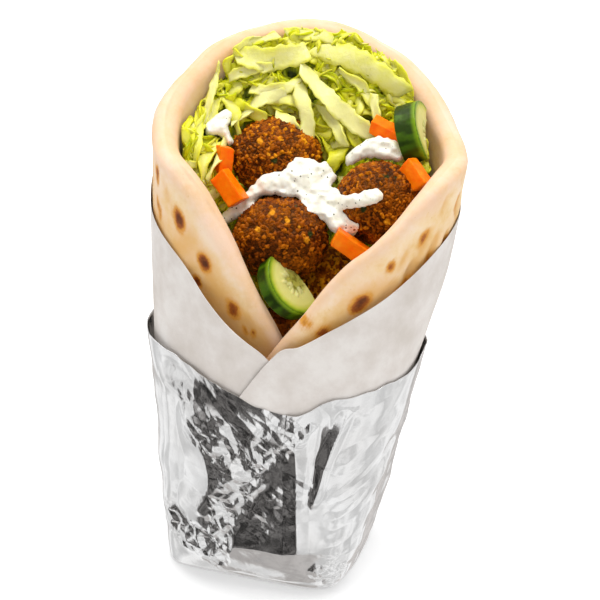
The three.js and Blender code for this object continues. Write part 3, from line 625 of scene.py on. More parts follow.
def rolled_sheet(name, material, ends, bottom, edge, outer, thickness_at, rounding, columns, rows,
                 upper_depth):
    """A rolled sheet with rounded edges. Gives the piece with every vertex's angle and height, and 1
    for those on its outer face. columns are the steps over the left flap, the back and the right."""
    start, end = ends
    margin = rounding / ARC
    angles = np.concatenate([
        start + EDGE_SHARES * margin,
        spread((start + margin, columns[0]), *zip(BACK_ENDS, columns[1:]), (end - margin, 0)),
        end - EDGE_SHARES[::-1] * margin,
    ])
    top = curve_through(edge, angles)
    slope = (curve_through(edge, angles + 1) - curve_through(edge, angles - 1)) / (2 * ARC)
    stretch = np.hypot(1, slope)
    reach = np.minimum(upper_depth, FINE_SHARE * (top - bottom) / stretch)
    upper = rounding + (reach - rounding)[:, None] * np.linspace(0, 1, rows)
    depths = np.concatenate([np.tile(EDGE_SHARES * rounding, (len(angles), 1)), upper], axis=1)
    heights = top[:, None] - depths * stretch[:, None]
    share = np.linspace(0, 1, LOWER_ROWS + 1)[1:]
    heights = np.concatenate([heights, heights[:, -1:] + (bottom - heights[:, -1:]) * share], axis=1)
    depths = np.pad(depths, ((0, 0), (0, LOWER_ROWS)), constant_values=rounding)

    angle = np.repeat(angles[:, None], heights.shape[1], axis=1)
    from_end = np.minimum(angle - start, end - angle) * ARC
    from_edge = np.minimum(np.minimum(depths, from_end), rounding)
    roundness = np.sqrt(np.clip(1 - (1 - from_edge / rounding) ** 2, 0, 1))
    thickness = thickness_at(angle)
    half = thickness / 2 * np.maximum(roundness, THINNEST)
    middle = outer(angle, heights) - thickness / 2
    points = [roll_point(angle, heights, middle + side * half).reshape(-1, 3) for side in (1, -1)]
    piece = new_piece(name, np.concatenate(points), sheet_faces(*heights.shape), material)
    outside = np.repeat([1.0, 0.0], heights.size)
    return piece, np.tile(angle.ravel(), 2), np.tile(heights.ravel(), 2), outside


# ---------------- bread

# Toasted spots: angle, height, half length, half width in mm, lean in degrees from upright, how dark.
TOAST_SPOTS = (
    (60.7, 145.7, 4.9, 2.9, 20, 1.0),
    (47.6, 132.7, 4.4, 2.6, 26, 1.0),
    (50.6, 124.6, 2.8, 2.0, 25, 0.9),
    (33.0, 116.7, 4.9, 2.9, 34, 0.85),
    (22.3, 108.1, 2.2, 1.5, 30, 0.7),
    (335.3, 123.1, 5.0, 3.7, -50, 1.0),
    (323.9, 136.1, 2.9, 2.1, -35, 0.7),
    (308.4, 142.5, 3.8, 2.2, -30, 0.7),
    (304.5, 133.2, 3.8, 1.9, -25, 0.55),
    (293.7, 134.6, 4.2, 2.1, -12, 0.85),
    (314.3, 128.3, 3.2, 1.9, -40, 0.5),
    (349.8, 112.5, 4.2, 2.6, -55, 0.8),
    (357.5, 116.6, 4.6, 2.8, 48, 0.5),
    (287.8, 146.4, 3.4, 1.8, 0, 0.5),
    (262, 152, 6, 4, 10, 0.8),
    (236, 158, 5, 3.4, -20, 0.9),
    (214, 166, 6.5, 4.2, 15, 0.9),
    (196, 176, 4, 3, 0, 0.7),
    (178, 168, 6, 4, -25, 1.0),
    (76.5, 158, 4.6, 1.6, 8, 0.9),
    (74.5, 145, 5, 1.4, 14, 0.8),
    (305.6, 130.5, 3.2, 1.6, -30, 0.7),
    (316, 128, 2.6, 1.8, -40, 0.65),
    (319.5, 125.6, 3.2, 1.5, -50, 0.55),
    (26.5, 108.6, 3.4, 1.2, 35, 0.6),
    (289, 149.5, 4.2, 1.6, -8, 0.6),
    (152, 172, 5, 3.4, 20, 0.85),
    (131, 163, 6, 4, -10, 0.9),
    (108, 158, 4.4, 3, 15, 0.7),
    (88, 152, 5.4, 3.4, -15, 0.85),
)
# Creases pressed into the outer face: angle and height of both ends, and depth in mm.
BREAD_CREASES = (
    (304, 147, 310.6, 134.5, 0.5),
    (310.6, 136, 317, 128.5, 0.9),
    (300, 144, 305.5, 131, 0.8),
    (293, 141, 297.5, 130.5, 1.0),
    (288, 150, 283, 138, 0.7),
    (315, 142, 321, 132, 0.45),
    (297, 157, 301, 148, 0.4),
    (320, 131, 327, 123, 0.4),
    (72, 160, 66, 149, 0.4),
    (50, 134, 41, 124, 0.3),
    (30, 113, 22, 108, 0.5),
    (226, 172, 238, 158, 0.4),
)
CREASE_WIDTH = 1.5
# How far the bread swells out against the paper.
WRAPPED_SWELL = 0.9
# How far the painted shade along the paper's edge reaches above it, and where the rim's pale lip, left
# without painted shade, ends below it.
PAPER_EDGE_SHADE_REACH = 6.5
PALE_LIP = (5, 15)
# The outer face gets painted shade, a warm brown, below the first height and is paler above the second.
PAINTED_SHADE_HEIGHTS = (124, 156)


def toast_at(angle, z):
    """How toasted the bread is, from 0 to 1."""
    total = np.zeros_like(angle)
    for spot_angle, spot_z, length, width, lean, dark in TOAST_SPOTS:
        along, across = turn_axes(z - spot_z, (angle - spot_angle) * ARC, math.radians(lean))
        distance = np.hypot(along / (1.45 * length), across / (1.45 * width))
        total = np.maximum(total, dark * (1 - smooth_step(0.1, 1.0, distance)))
    return total


def crease_at(angle, z):
    total = np.zeros_like(z)
    for angle0, z0, angle1, z1, depth in BREAD_CREASES:
        distance, along = line_distance(angle * ARC, z, (angle0 * ARC, z0), (angle1 * ARC, z1))
        total += depth * np.exp(-((distance / CREASE_WIDTH) ** 2)) * np.sin(np.pi * along)
    return total


def make_bread():
    piece, angle, z, outside = rolled_sheet(
        "bread", bread_material(), BREAD_ENDS, BREAD_BOTTOM, BREAD_RIM, bread_outer,
        bread_thickness, rounding=3.6, columns=(108, 100, 152), rows=56, upper_depth=66,
    )
    below_rim = curve_through(BREAD_RIM, angle) - z
    points, normals = places(piece)
    clear = outside * smooth_step(95, 120, z)
    crease = crease_at(angle, z)
    relief = noises(points, (0.75, 24, 3), (0.4, 9, 5), (0.12, 3.2, 8))
    relief = relief * (0.35 + 0.65 * clear) - crease * clear
    wrapped = plateau(angle, 45, 60, 300, 315) * (1 - smooth_step(148, 164, z))
    relief += WRAPPED_SWELL * wrapped * outside
    move_to(piece, points + normals * relief[:, None])

    rim = 1 - smooth_step(0, 12, below_rim)
    rim_tan = rim * (0.6 + 0.6 * noise(points, 12, 21)) * 0.2
    low = 0.5 * smooth_step(0.0, 0.9, noise(points, 14, 33))
    # Painted shade: the outer face is made warmer and darker along the paper's edge, low on the flaps, more
    # so on the left flap, and in the creases; the rim's tan and the random low patches are the bread's own
    # colour, and the inner face is made warmer too.
    above_paper = z - curve_through(PAPER_EDGE, angle)
    band = (1 - smooth_step(0, PAPER_EDGE_SHADE_REACH, above_paper)) * (0.25 + 0.35 * noise(points, 6, 35))
    golden_painted_shade = 0.16 + (1 - smooth_step(*PAINTED_SHADE_HEIGHTS, z)) * (0.42 + 0.25 * noise(points, 9, 37))
    golden_painted_shade += 0.28 * plateau(angle, 15, 30, 110, 150) * (1 - smooth_step(145, 172, z))
    body = golden_painted_shade * smooth_step(*PALE_LIP, below_rim)
    # The warmth attribute holds the bread's own warm tone and the painted shade of the paper's edge, the
    # lower flaps and the creases.
    warmth = rim_tan + (1 - outside) * 0.3 + (low + band + body + 1.4 * crease) * outside
    store(piece, toast=toast_at(angle, z) * outside, warmth=np.clip(warmth, 0, 1), rim=rim)
    stands_for(piece, "flatbread")


# ---------------- paper


def make_paper():
    piece, _, _, _ = rolled_sheet(
        "paper", paper_material(), PAPER_ENDS, PAPER_BOTTOM, PAPER_EDGE, paper_outer,
        lambda angle: PAPER_THICKNESS + 0 * angle, rounding=0.4, columns=(64, 74, 80), rows=42,
        upper_depth=70,
    )
    displace(piece, lambda points: noises(points, (0.35, 30, 41), (0.12, 11, 43)))
    stands_for(piece, "paper_wrap")


# ---------------- foil

# Creases of the foil: angle and height of both ends, height of the ridge (or depth, where below 0)
# and half width, in mm. One runs out at its second end, unless the next one goes on from there.
FOIL_FOLDS = (
    (355.5, 74, 346.5, 12, 0.7, 5),
    (344.6, 79, 344.0, 38, -1.2, 3.4),
    (334.5, 79, 341.0, 60, 1.5, 3.2),
    (341.0, 60, 343.6, 40, 1.2, 2.6),
    (332, 60, 300, 74, 0.7, 5),
    (331, 44, 297, 60, -0.7, 5),
    (331, 36, 298, 50, 0.7, 5),
    (330, 24, 300, 36, 0.7, 6),
    (318, 70, 300, 44, 0.4, 7),
    (62, 84, 66, 20, 0.45, 5),
    (46, 88, 40.5, 68, 0.8, 5),
    (40.5, 68, 35.5, 50, 2.4, 13),
    (35.5, 50, 36.5, 42, 2.6, 14),
    (36.5, 42, 44, 33, 2.4, 13),
    (44, 33, 37, 22, 1.2, 6),
    (280, 88, 268, 20, 0.5, 4),
)
# Crumpled places: angle and height of both ends of a band, its half width, and the depth of its
# large, small and streaky facets.
FOIL_CRUMPLES = (
    (-7, 80, 12, 61, 8, 2.8, 1.0, 0.4),
    (12, 61, 27, 38, 9, 2.8, 0.9, 0.3),
    (27, 38, 36, 20, 7, 2.5, 0.8, 0.3),
    (42, 89, 6, 76, 14, 0.8, 0.25, 1.7),
    (32, 70, 22, 52, 10, 1.5, 0.7, 0.9),
    (48, 84, 44, 66, 6, 0.8, 0.2, 1.3),
    (64, 22, 42, 13, 9, 2.8, 1.4, 0.2),
    (10, 30, -8, 50, 7, 0.6, 0.15, 0.6),
    (-30, 10, -45, 5, 7, 1.6, 0.9, 0.2),
    (-22, 88, -34, 84, 6, 1.4, 0.7, 0.3),
)
# How deep the large and small facets are in the calm places in front, and at the sides and back.
FOIL_CALM = (0.1, 0.02)
FOIL_SIDES = (0.6, 0.18)
# Soft bands across the calm places: how long and wide they are, their depth and their lean.
BAND = (34.0, 8.0, 0.55)
BAND_LEAN = math.radians(24)
LARGE_FACET = 6.4
SMALL_FACET = 3.0
STREAK = (3.0, 12.0)
STREAK_LEAN = math.radians(-38)
# Above this share of a crumple the foil's creases stay sharp.
SHARP_CRUMPLE = 0.35
# The front bends out to a low ridge at this height and draws in below it.
SKIRT_HEIGHT = 19.5
SKIRT_RIDGE = 1.1
SKIRT_DEPTH = 1.7
SKIRT_WAVE = 3.0
# The foil draws in to the paper over this height below its rim, down to a small gap.
SNUG_HEIGHT = 14.0
SNUG_GAP = 0.65
# The middle of the foil's front in degrees, and the mm for each degree of the plane of its facets.
FOIL_FRONT = 5
FOIL_ARC = 0.9 * ARC
FOOT_HEIGHT = 0.9
FOIL_ROWS = 178
# Columns of the foil, finer in front than round the back: angle and steps up to the next one.
FOIL_STEPS = ((-62, 255), (72, 160), (298, 0))


def signed(angle):
    """Degrees from the front, to the right below 0."""
    return np.where(angle > 180, angle - 360, angle)


def flat_place(angle, z):
    """A place on the foil in the plane of its facets."""
    return -signed(angle) * FOIL_ARC, z


def foil_crumple(angle, z):
    """Depth of the large, small and streaky facets, and how crumpled the foil is, from 0 to 1."""
    aside = smooth_step(70, 95, np.abs(signed(angle) - FOIL_FRONT))
    parts = [np.maximum(calm, side * aside) for calm, side in zip(FOIL_CALM, FOIL_SIDES)]
    parts += [np.zeros_like(z), np.zeros_like(z)]
    for angle0, z0, angle1, z1, width, *depths in FOIL_CRUMPLES:
        start, end = flat_place(angle0, z0), flat_place(angle1, z1)
        distance, _ = line_distance(*flat_place(angle, z), start, end)
        weight = 1 - smooth_step(0.45, 1.2, distance / width)
        parts = [np.maximum(part, depth * weight) for part, depth in zip(parts, (*depths, 1))]
    return parts


def foil_folds(u, z):
    """The creases, at places in the plane of the facets."""
    ridges, valleys = np.zeros_like(u), np.zeros_like(u)
    starts = [fold[:2] for fold in FOIL_FOLDS]
    for angle0, z0, angle1, z1, height, width in FOIL_FOLDS:
        distance, share = line_distance(u, z, flat_place(angle0, z0), flat_place(angle1, z1))
        fold = height * np.clip(1 - distance / width, 0, 1)
        if (angle1, z1) not in starts:
            fold = fold * (1 - smooth_step(0.78, 1.0, share))
        ridges, valleys = np.maximum(ridges, fold), np.minimum(valleys, fold)
    return ridges + valleys


def foil_relief(angle, z):
    """How far the foil stands out from its smooth form."""
    u, _ = flat_place(angle, z)
    plane = np.stack([u, z], -1)
    aside = np.abs(signed(angle) - FOIL_FRONT)
    large, small, streaky, _ = foil_crumple(angle, z)
    along, across = turn_axes(u, z, STREAK_LEAN)
    streaks = np.stack([along * STREAK[0] / STREAK[1], across], -1)
    relief = large * facets(plane, LARGE_FACET, 3) + small * facets(plane, SMALL_FACET, 17)
    relief += streaky * facets(streaks, STREAK[0], 43)
    relief += 0.9 * facets(plane, 27, 9) + 0.2 * facets(plane, 13, 11)
    along, across = turn_axes(u, z, BAND_LEAN)
    relief += BAND[2] * noise(np.stack([along / BAND[0], across / BAND[1]], -1), 1, 71)
    relief += foil_folds(u, z)
    # round the back the pattern closes on itself
    relief *= 1 - smooth_step(172, 180, np.abs(signed(angle)))

    below_rim = curve_through(FOIL_RIM, angle) - z
    snug = (1 - smooth_step(2, SNUG_HEIGHT, below_rim)) * (1 - 0.8 * smooth_step(52, 78, aside))
    to_paper = paper_outer(angle, z) + FOIL_THICKNESS + SNUG_GAP - foil_outer(angle, z)
    relief = relief * (1 - 0.7 * snug) + np.minimum(to_paper, 0) * snug
    front = 1 - smooth_step(50, 75, aside)
    room = 1.0 + 1.8 * front * smooth_step(10, 40, z) + 3 * snug
    bend = SKIRT_HEIGHT + SKIRT_WAVE * noise(np.stack([u, 0 * u], -1), 16, 67)
    ridge = np.where(z < bend, z / bend, np.clip(2.4 - 1.4 * z / bend, 0, 1))
    skirt = SKIRT_RIDGE * ridge - SKIRT_DEPTH * np.clip(1 - z / bend, 0, 1)
    return np.maximum(relief, np.maximum(-room, to_paper)) * smooth_step(0.4, 6, z) + front * skirt


def make_foil():
    angles = spread(*FOIL_STEPS)[:-1]
    around = np.stack([np.cos(angles * DEGREE), np.sin(angles * DEGREE)], -1)
    rim = curve_through(FOIL_RIM, angles % 360) + 0.5 * noise(around * 45, 4, 61)

    def wall(heights, offset=0.0, level=None):
        angle = np.repeat(angles[:, None], heights.shape[1], axis=1) % 360
        relief = foil_relief(angle, heights) if level is None else level
        return roll_point(angle, heights, foil_outer(angle, heights) + relief + offset)

    def below_rim(shares):
        return FOOT_HEIGHT + (rim[:, None] - FOOT_HEIGHT) * shares

    foot = wall(np.repeat([[0.0, 0.1, 0.4]], len(angles), axis=0), np.array((-1.4, -0.6, -0.2)))
    outside = wall(below_rim(np.linspace(0, 1, FOIL_ROWS) ** 0.98))
    under_rim = wall(below_rim(np.linspace(1, 0.8, 14)), -FOIL_THICKNESS)
    lining = wall(below_rim(np.linspace(0.77, 0.02, 6)), level=-1.35)
    grid = np.concatenate([foot, outside, under_rim, lining], axis=1)
    piece = revolved_piece("foil", grid, (*BASE_MIDDLE, 0.0), (*BASE_MIDDLE, 1.6), foil_material())
    crumpled = np.zeros(grid.shape[:2])
    angle = np.repeat(angles[:, None] % 360, FOIL_ROWS, axis=1)
    crumpled[:, foot.shape[1] :][:, :FOIL_ROWS] = foil_crumple(angle, outside[..., 2])[3]
    sharp = np.append(crumpled.ravel(), (0, 0)) > SHARP_CRUMPLE
    for polygon in piece.data.polygons:
        polygon.use_smooth = not sharp[polygon.vertices[0]]
    stands_for(piece, "foil_cup")


# ---------------- falafel

# Node, centre and radii, as in the solids, then how finely it is made, its seed and how much its tone is
# raised; the low ball's raise is painted light that brightens it in the shade it sits in, while the front
# and right balls are made darker.
FALAFELS = (
    ("falafel_back", (3.6, 28, 151.8), (16.9, 16.2, 14.4), 7, 11, 0.0),
    ("falafel_front", (5.3, 1, 132.4), (17.3, 16.2, 15.1), 7, 23, -0.2),
    ("falafel_right", (40.8, 6, 144.3), (15.6, 15.5, 15.1), 7, 37, -0.12),
    ("falafel_low", (26.4, 11, 110.6), (15, 15, 14.2), 6, 41, 0.3),
    ("falafel_bottom", (6, 0, 90.6), (14, 13.4, 13.6), 6, 53, 0.0),
)
CRUMB = 1.45
CRUMB_HEIGHT = 0.95
SMALL_CRUMB = 0.75
# Bits that show in the crumb, as places in the mouth plane (right, rise), and how many more there are.
CHICKPEA_BITS = ((-14.6, 57.5), (-4.4, 28), (-15, 25.2), (2.2, 21), (-10, 31), (31, 27.5), (25, 38))
CHICKPEA_SHARE = 0.02
HERB_BITS = ((30.5, 44), (22.5, 32), (3.6, 23.4), (-9, 50))
HERB_SHARE = 0.012
BIT_RADIUS = 1.0
LOOSE_BIT = 2.2


def bits_at(points, bits, seed, share):
    """Where a crumb's bits lie: the named ones and a few at random."""
    right, rise, out = in_mouth(points)
    facing = out > np.median(out)
    edge = 0.5 * noise(points, 1.1, seed)
    named = np.zeros(len(points))
    for bit_right, bit_rise in bits:
        distance = np.hypot(right - bit_right, rise - bit_rise) + edge
        named = np.maximum(named, facing * (1 - smooth_step(0.7, 1.3, distance / BIT_RADIUS)))
    from_centre, _, label = grains(points, LOOSE_BIT, seed + 5)
    return np.maximum(named, (label < share) * (1 - smooth_step(0.2, 0.34, from_centre)))


def make_falafels():
    material = falafel_material()
    pieces = []
    for node, centre, radii, detail, seed, tone_shift_with_painted_light in FALAFELS:
        bpy.ops.mesh.primitive_ico_sphere_add(subdivisions=detail, radius=1)
        piece = bpy.context.object
        piece.name = piece.data.name = node + "_crumb"
        piece.data.materials.append(material)
        piece.data.shade_smooth()
        unit, _ = places(piece)
        unit /= np.linalg.norm(unit, axis=1)[:, None]
        seat = unit * np.array(radii) + np.array(centre)
        warped = seat + 0.5 * noise_vectors(seat, 1.8, seed + 60)
        _, bump, label = grains(warped, CRUMB, seed)
        _, small_bump, small_label = grains(warped, SMALL_CRUMB, seed + 91)
        crumb = bump**0.6 * (0.3 + 0.9 * label) + 0.35 * small_bump * small_label
        lumps = noises(seat, (0.5, 8, seed + 3), (0.45, 3.4, seed + 4))
        move_to(piece, seat + unit * (CRUMB_HEIGHT * (crumb - 0.7) + lumps)[:, None])
        # The tone is raised a little on raised lumps, a touch of painted light, and by each ball's tone
        # shift.
        store(
            piece, height=np.clip(0.15 + 0.75 * crumb + 0.25 * lumps, 0, 1),
            tone=0.75 * label + 0.25 * small_label + 0.12 * lumps + tone_shift_with_painted_light,
            chickpea=bits_at(seat, CHICKPEA_BITS, seed, CHICKPEA_SHARE),
            herb=bits_at(seat, HERB_BITS, seed + 50, HERB_SHARE),
        )
        stands_for(piece, node)
        pieces.append(piece)
    return pieces


# ---------------- solid bits: cucumber and carrot


def unit_vector(vector):
    vector = np.asarray(vector, float)
    return vector / np.linalg.norm(vector)


def prism(outline, depth):
    """Points and faces of a flat outline made depth thick, with its shown face at height 0."""
    count = len(outline)
    points = [(x, y, height) for height in (0.0, -depth) for x, y in outline]
    faces = [tuple(range(count)), tuple(range(2 * count - 1, count - 1, -1))]
    faces += [(i, i + count, (i + 1) % count + count, (i + 1) % count) for i in range(count)]
    return np.array(points), faces


# Node, middle of the cut edge, facing, direction of the bulge, thickness, bow of the cut edge, seed.
CUCUMBERS = (
    ("cucumber_front", (10.8, -16.4, 124.8), (0.66, -0.365, 0.657), (-0.36, -0.918, -0.15), 6.2, 3.5, 71),
    ("cucumber_right", (58.5, 22.6, 163.6), (0.915, -0.163, 0.368), (-0.402, -0.326, 0.856), 8.2, -1.2, 83),
)
CUCUMBER_RADIUS = 12.6
CUCUMBER_GRAIN = 0.38
SEEDS_PER_SLICE = 9
# Past the first share of facing along the slice a place is on a cut face, below the second on the rind.
CUT_FACE, RIND = 0.7, 0.6
# How far out the seeds lie, as shares of the radius, and their half length and half width.
SEED_REACH = (0.22, 0.42)
SEED_SIZE = (1.7, 0.75)


def slice_outline(bow):
    """A half round, and its cut edge bowed towards it, or away where bow is below 0."""
    arc = [(math.cos(t), math.sin(t)) for t in np.linspace(0, math.pi, 61)]
    chord = [(x, -bow / CUCUMBER_RADIUS * (1 - x**2)) for x in np.linspace(-1, 1, 31)[1:-1]]
    return [(CUCUMBER_RADIUS * x, CUCUMBER_RADIUS * y) for x, y in arc + chord]


def seeds_at(x, y, seed):
    """How much each place in a slice lies on a seed, for every seed in turn."""
    rng = random.Random(seed)
    for k in range(SEEDS_PER_SLICE):
        turn = math.pi * (k + 0.5 + rng.uniform(-0.25, 0.25)) / SEEDS_PER_SLICE
        reach = rng.uniform(*SEED_REACH) * CUCUMBER_RADIUS
        along, across = turn_axes(x - reach * math.cos(turn), y - reach * math.sin(turn), turn)
        yield 1 - smooth_step(0.6, 1.1, np.hypot(along / SEED_SIZE[0], across / SEED_SIZE[1]))


def make_cucumbers():
    material = cucumber_material()
    for node, at, facing, bulge, thickness, bow, seed in CUCUMBERS:
        z_axis = unit_vector(facing)
        y_axis = unit_vector(bulge - np.dot(bulge, z_axis) * z_axis)
        axes = np.stack([np.cross(y_axis, z_axis), y_axis, z_axis])
        local, faces = prism(slice_outline(bow), thickness)
        piece = new_piece(node + "_slice", local @ axes + at, faces, material)
        remesh(piece, CUCUMBER_GRAIN, 2)
        points, normals = places(piece)
        x, y, z = ((points - at) @ axes.T).T
        radial = np.hypot(x, y) / CUCUMBER_RADIUS
        outward = normals @ z_axis
        relief = -0.35 * (1 - smooth_step(0.25, 0.5, radial)) * (outward > CUT_FACE)
        seed_mark = np.zeros(len(points))
        for mark in seeds_at(x, y, seed):
            mark = mark * (np.abs(outward) > CUT_FACE)
            seed_mark = np.maximum(seed_mark, mark)
            relief = relief + 0.3 * mark
        relief = relief + noises(points, (0.12, 3, seed), (0.06, 1.2, seed + 1))
        move_to(piece, points + normals * relief[:, None])
        around = np.stack([np.arctan2(y, x) * 7, z * 0.12], -1)
        store(piece, radial=radial, rind=(np.abs(outward) < RIND) & (radial > 0.9), depth=-z,
              seed=seed_mark, stripe=0.5 + 0.5 * noise(around, 1, seed))
        stands_for(piece, node)


# Node, middle, long direction, (length, width, depth) and roll, in the mouth, as the solids have them.
CARROTS = (
    ("carrot_left", (-25.4, 40, 29), (0.55, -0.8, 0.1), (12.6, 6.6, 6.6), 20),
    ("carrot_left_back", (-27.6, 49.6, 22), (0.1, 1, 0.2), (12, 5.4, 5.4), 25),
    ("carrot_middle", (18, 18.8, 37), (0.82, -0.55, -0.1), (14, 6.6, 6), 15),
    ("carrot_right", (41, 44.4, 34.4), (0.5, -0.75, 0.25), (10.5, 6.4, 6), 30),
    ("carrot_back", (31.4, 61, 23), (0.85, -0.45, 0.15), (12, 5.6, 5.6), 40),
)
CARROT_SLANT = 0.12
CARROT_GRAIN = 0.32


def make_carrots():
    material = carrot_material()
    for index, (node, at, along, (length, width, depth), roll) in enumerate(CARROTS):
        x_axis = unit_vector(mouth_point(*along) - MOUTH_ORIGIN)
        y_axis = unit_vector(np.cross(OUT, x_axis))
        angle = math.radians(roll)
        y_axis = y_axis * math.cos(angle) + np.cross(x_axis, y_axis) * math.sin(angle)
        axes = np.stack([x_axis, y_axis, np.cross(x_axis, y_axis)])
        corners = ((1, 1), (-1, 1), (-1, -1), (1, -1))
        outline = [(x * (length + CARROT_SLANT * y * width) / 2, y * width / 2) for x, y in corners]
        local, faces = prism(outline, depth)
        local[:, 2] += depth / 2
        piece = new_piece(node + "_stick", local @ axes + mouth_point(*at), faces, material)
        remesh(piece, CARROT_GRAIN, 7)
        layers = ((0.22, 4, 100 + index), (0.05, 1, 120 + index))
        displace(piece, lambda points: noises(points, *layers) - 0.05)
        stands_for(piece, node)


# ---------------- pools of sauce

# Strokes of every pool in the mouth: right, rise, how far out its skin lies, and radius.
SAUCES = (
    ("sauce_middle", (
        ((-28, 27.6, 26, 1.4), (-24.4, 30.8, 27, 2.0), (-20.4, 34.4, 27, 1.9), (-15.8, 39.2, 27.4, 2.3),
         (-10.5, 41.3, 29, 3.3), (-3.7, 41.9, 30.4, 4.6), (1.8, 43.6, 30.2, 5.2), (6.5, 44.4, 29, 4.6),
         (10, 44.6, 27.4, 2.6)),
        ((-1.2, 48.4, 29, 2.4), (3, 48.2, 28.8, 2.6), (8, 47.2, 28, 2.2)),
        ((5.5, 41, 30.5, 4.2), (9, 35.5, 32.5, 3.5), (11, 31, 34, 3.3), (14, 27, 35.5, 3.3),
         (18, 25.6, 36.5, 2.1)),
        ((12.5, 33.5, 34, 2.4), (16.5, 35.2, 39.6, 2.6), (21, 35.4, 43.4, 2.1),
         (25.8, 36.4, 45, 2.4), (28.3, 36.4, 45, 1.4)),
        ((-1, 40.6, 30, 3.2), (4, 38.6, 31, 4.0), (8, 36.5, 32.5, 3.8)),
        ((2.2, 37, 33, 2.6), (5.4, 34.2, 33, 2.6), (8.4, 31, 33, 2.4)),
        ((13, 35, 34, 1.8), (12.6, 38, 32, 1.4), (14, 33, 34, 1.6)),
    )),
    ("sauce_right", (
        ((18.4, 51, 26, 2.0), (21.6, 53, 27.6, 2.4), (26, 54.6, 29, 2.9), (31, 54.4, 30.4, 3.4),
         (34.8, 52.6, 31, 2.6)),
    )),
    ("sauce_left", (
        ((-32.4, 61.6, 21, 1.9), (-29.4, 64.2, 20, 2.9), (-26.6, 67.6, 18, 1.8)),
        ((-28.4, 62.5, 20, 1.9), (-27.2, 60, 20, 1.5), (-26.2, 57.6, 20, 1.1)),
    )),
)
# Where the sauce's edge lies past its strokes, and how wide that edge slopes.
POOL_SPREAD = 0.45
POOL_EDGE = 1.9
# Its thinnest film, how deep its bead is, the step of the grid that it is made on, and its grain.
POOL_FILM = 1.3
POOL_DEPTH = 3.4
POOL_STEP = 0.32
# How far its grid reaches past its strokes, how far out its skin is worked out, and where the rays
# start that find what lies under it.
POOL_REACH = 8
POOL_MARGIN = 3
RAY_START = 70.0
POOL_GRAIN = 0.33


def stroke_discs(strokes):
    """Discs along every stroke: right, rise, level of the skin and radius."""
    discs = []
    for stroke in strokes:
        along = np.arange(0, len(stroke) - 1 + 1e-6, 0.1)
        discs.append(np.stack([curve_through(list(enumerate(v)), along) for v in zip(*stroke)], -1))
    return np.concatenate(discs)


POOLS = {node: stroke_discs(strokes) for node, strokes in SAUCES}


def pool_field(discs, right, rise):
    """Distance from places to the edge of a pool, below 0 inside it, and the level of its skin."""
    nearest = np.full(right.shape, 99.0)
    total = np.zeros(right.shape)
    weights = np.full(right.shape, 1e-12)
    for centre_right, centre_rise, out, radius in discs:
        distance = np.hypot(right - centre_right, rise - centre_rise) - radius
        nearest = np.minimum(nearest, distance)
        weight = np.exp(-np.maximum(distance, -8) / 0.9)
        total += weight * out
        weights += weight
    return nearest, total / weights


# ---------------- lettuce

HEAP_BOTTOM = 2.6
HEAP_PROFILE = ((-22, 86), (0, 98), (8, 114), (16, 131), (25, 145), (38, 166), (52, 188), (60, 194))
# The core lies this far below the heap's skin, and the filling this far inside the bread.
CORE_DEPTH = 1.2
FILLING_GAP = 1.2
PAST_END = 15
FILLING_MIDDLE = np.array((15.0, 15.0))
CORE_GRAIN = 4.4
CORE_BUMP = 2.4


def heap_height(x, y):
    aside = x - FILLING_MIDDLE[0]
    climb = np.where(aside < 0, 0.0145 * aside**2, 0.004 * aside**2)
    return curve_through(HEAP_PROFILE, y) + climb * (1 - smooth_step(15, 45, y))


def filling_inset(angle, z):
    """How far the filling's wall lies inside the roll, under every layer of bread."""
    insets = []
    for layer in (angle - 360, angle, angle + 360):
        present = (layer > BREAD_ENDS[0] - PAST_END) & (layer < BREAD_ENDS[1])
        insets.append(np.where(present, bread_thickness(layer) - bread_outer(layer, z), -99))
    return FILLING_GAP + np.maximum.reduce(insets)


def filling_wall(angle, z):
    return roll_point(angle, z, -filling_inset(angle, z))


def room_left(points):
    """How far points lie inside the bread's inner face, in mm."""
    z = points[..., 2]
    middle = np.stack(section_at(z)[:2], -1)
    from_middle = middle - points[..., :2]
    angle = np.degrees(np.arctan2(from_middle[..., 0], from_middle[..., 1])) % 360
    reach = np.linalg.norm(filling_wall(angle, z)[..., :2] - middle, axis=-1)
    return reach - np.linalg.norm(from_middle, axis=-1)


def heap_out(right, rise):
    """The depth in the mouth at which a straight line out of it leaves the heap."""
    out = np.zeros(np.broadcast(right, rise).shape)
    for _ in range(24):
        point = mouth_point(right, rise, out)
        out = out + (heap_height(point[..., 0], point[..., 1]) - point[..., 2]) * 0.6
    return out


# Places where the heap is open: its core is sunk there and given painted shade. Right, rise and radius.
GAPS = (
    (-2.9, 84.1, 2.1),
    (0.8, 86.6, 1.2),
    (5.4, 75.2, 1.5),
    (-19, 75.9, 1.1),
    (25.8, 65.2, 1.5),
    (-32.5, 29.5, 1.5),
    (14.5, 49, 1.4),
)
GAP_DEPTH = 2.5


def openness(points):
    """How open the heap is at a place, from 0 to 1 in the middle of a gap."""
    right, rise, _ = in_mouth(points)
    away = [np.hypot(right - gap_right, rise - gap_rise) / radius for gap_right, gap_rise, radius in GAPS]
    return 1 - smooth_step(0.6, 1.3, np.minimum.reduce(away))


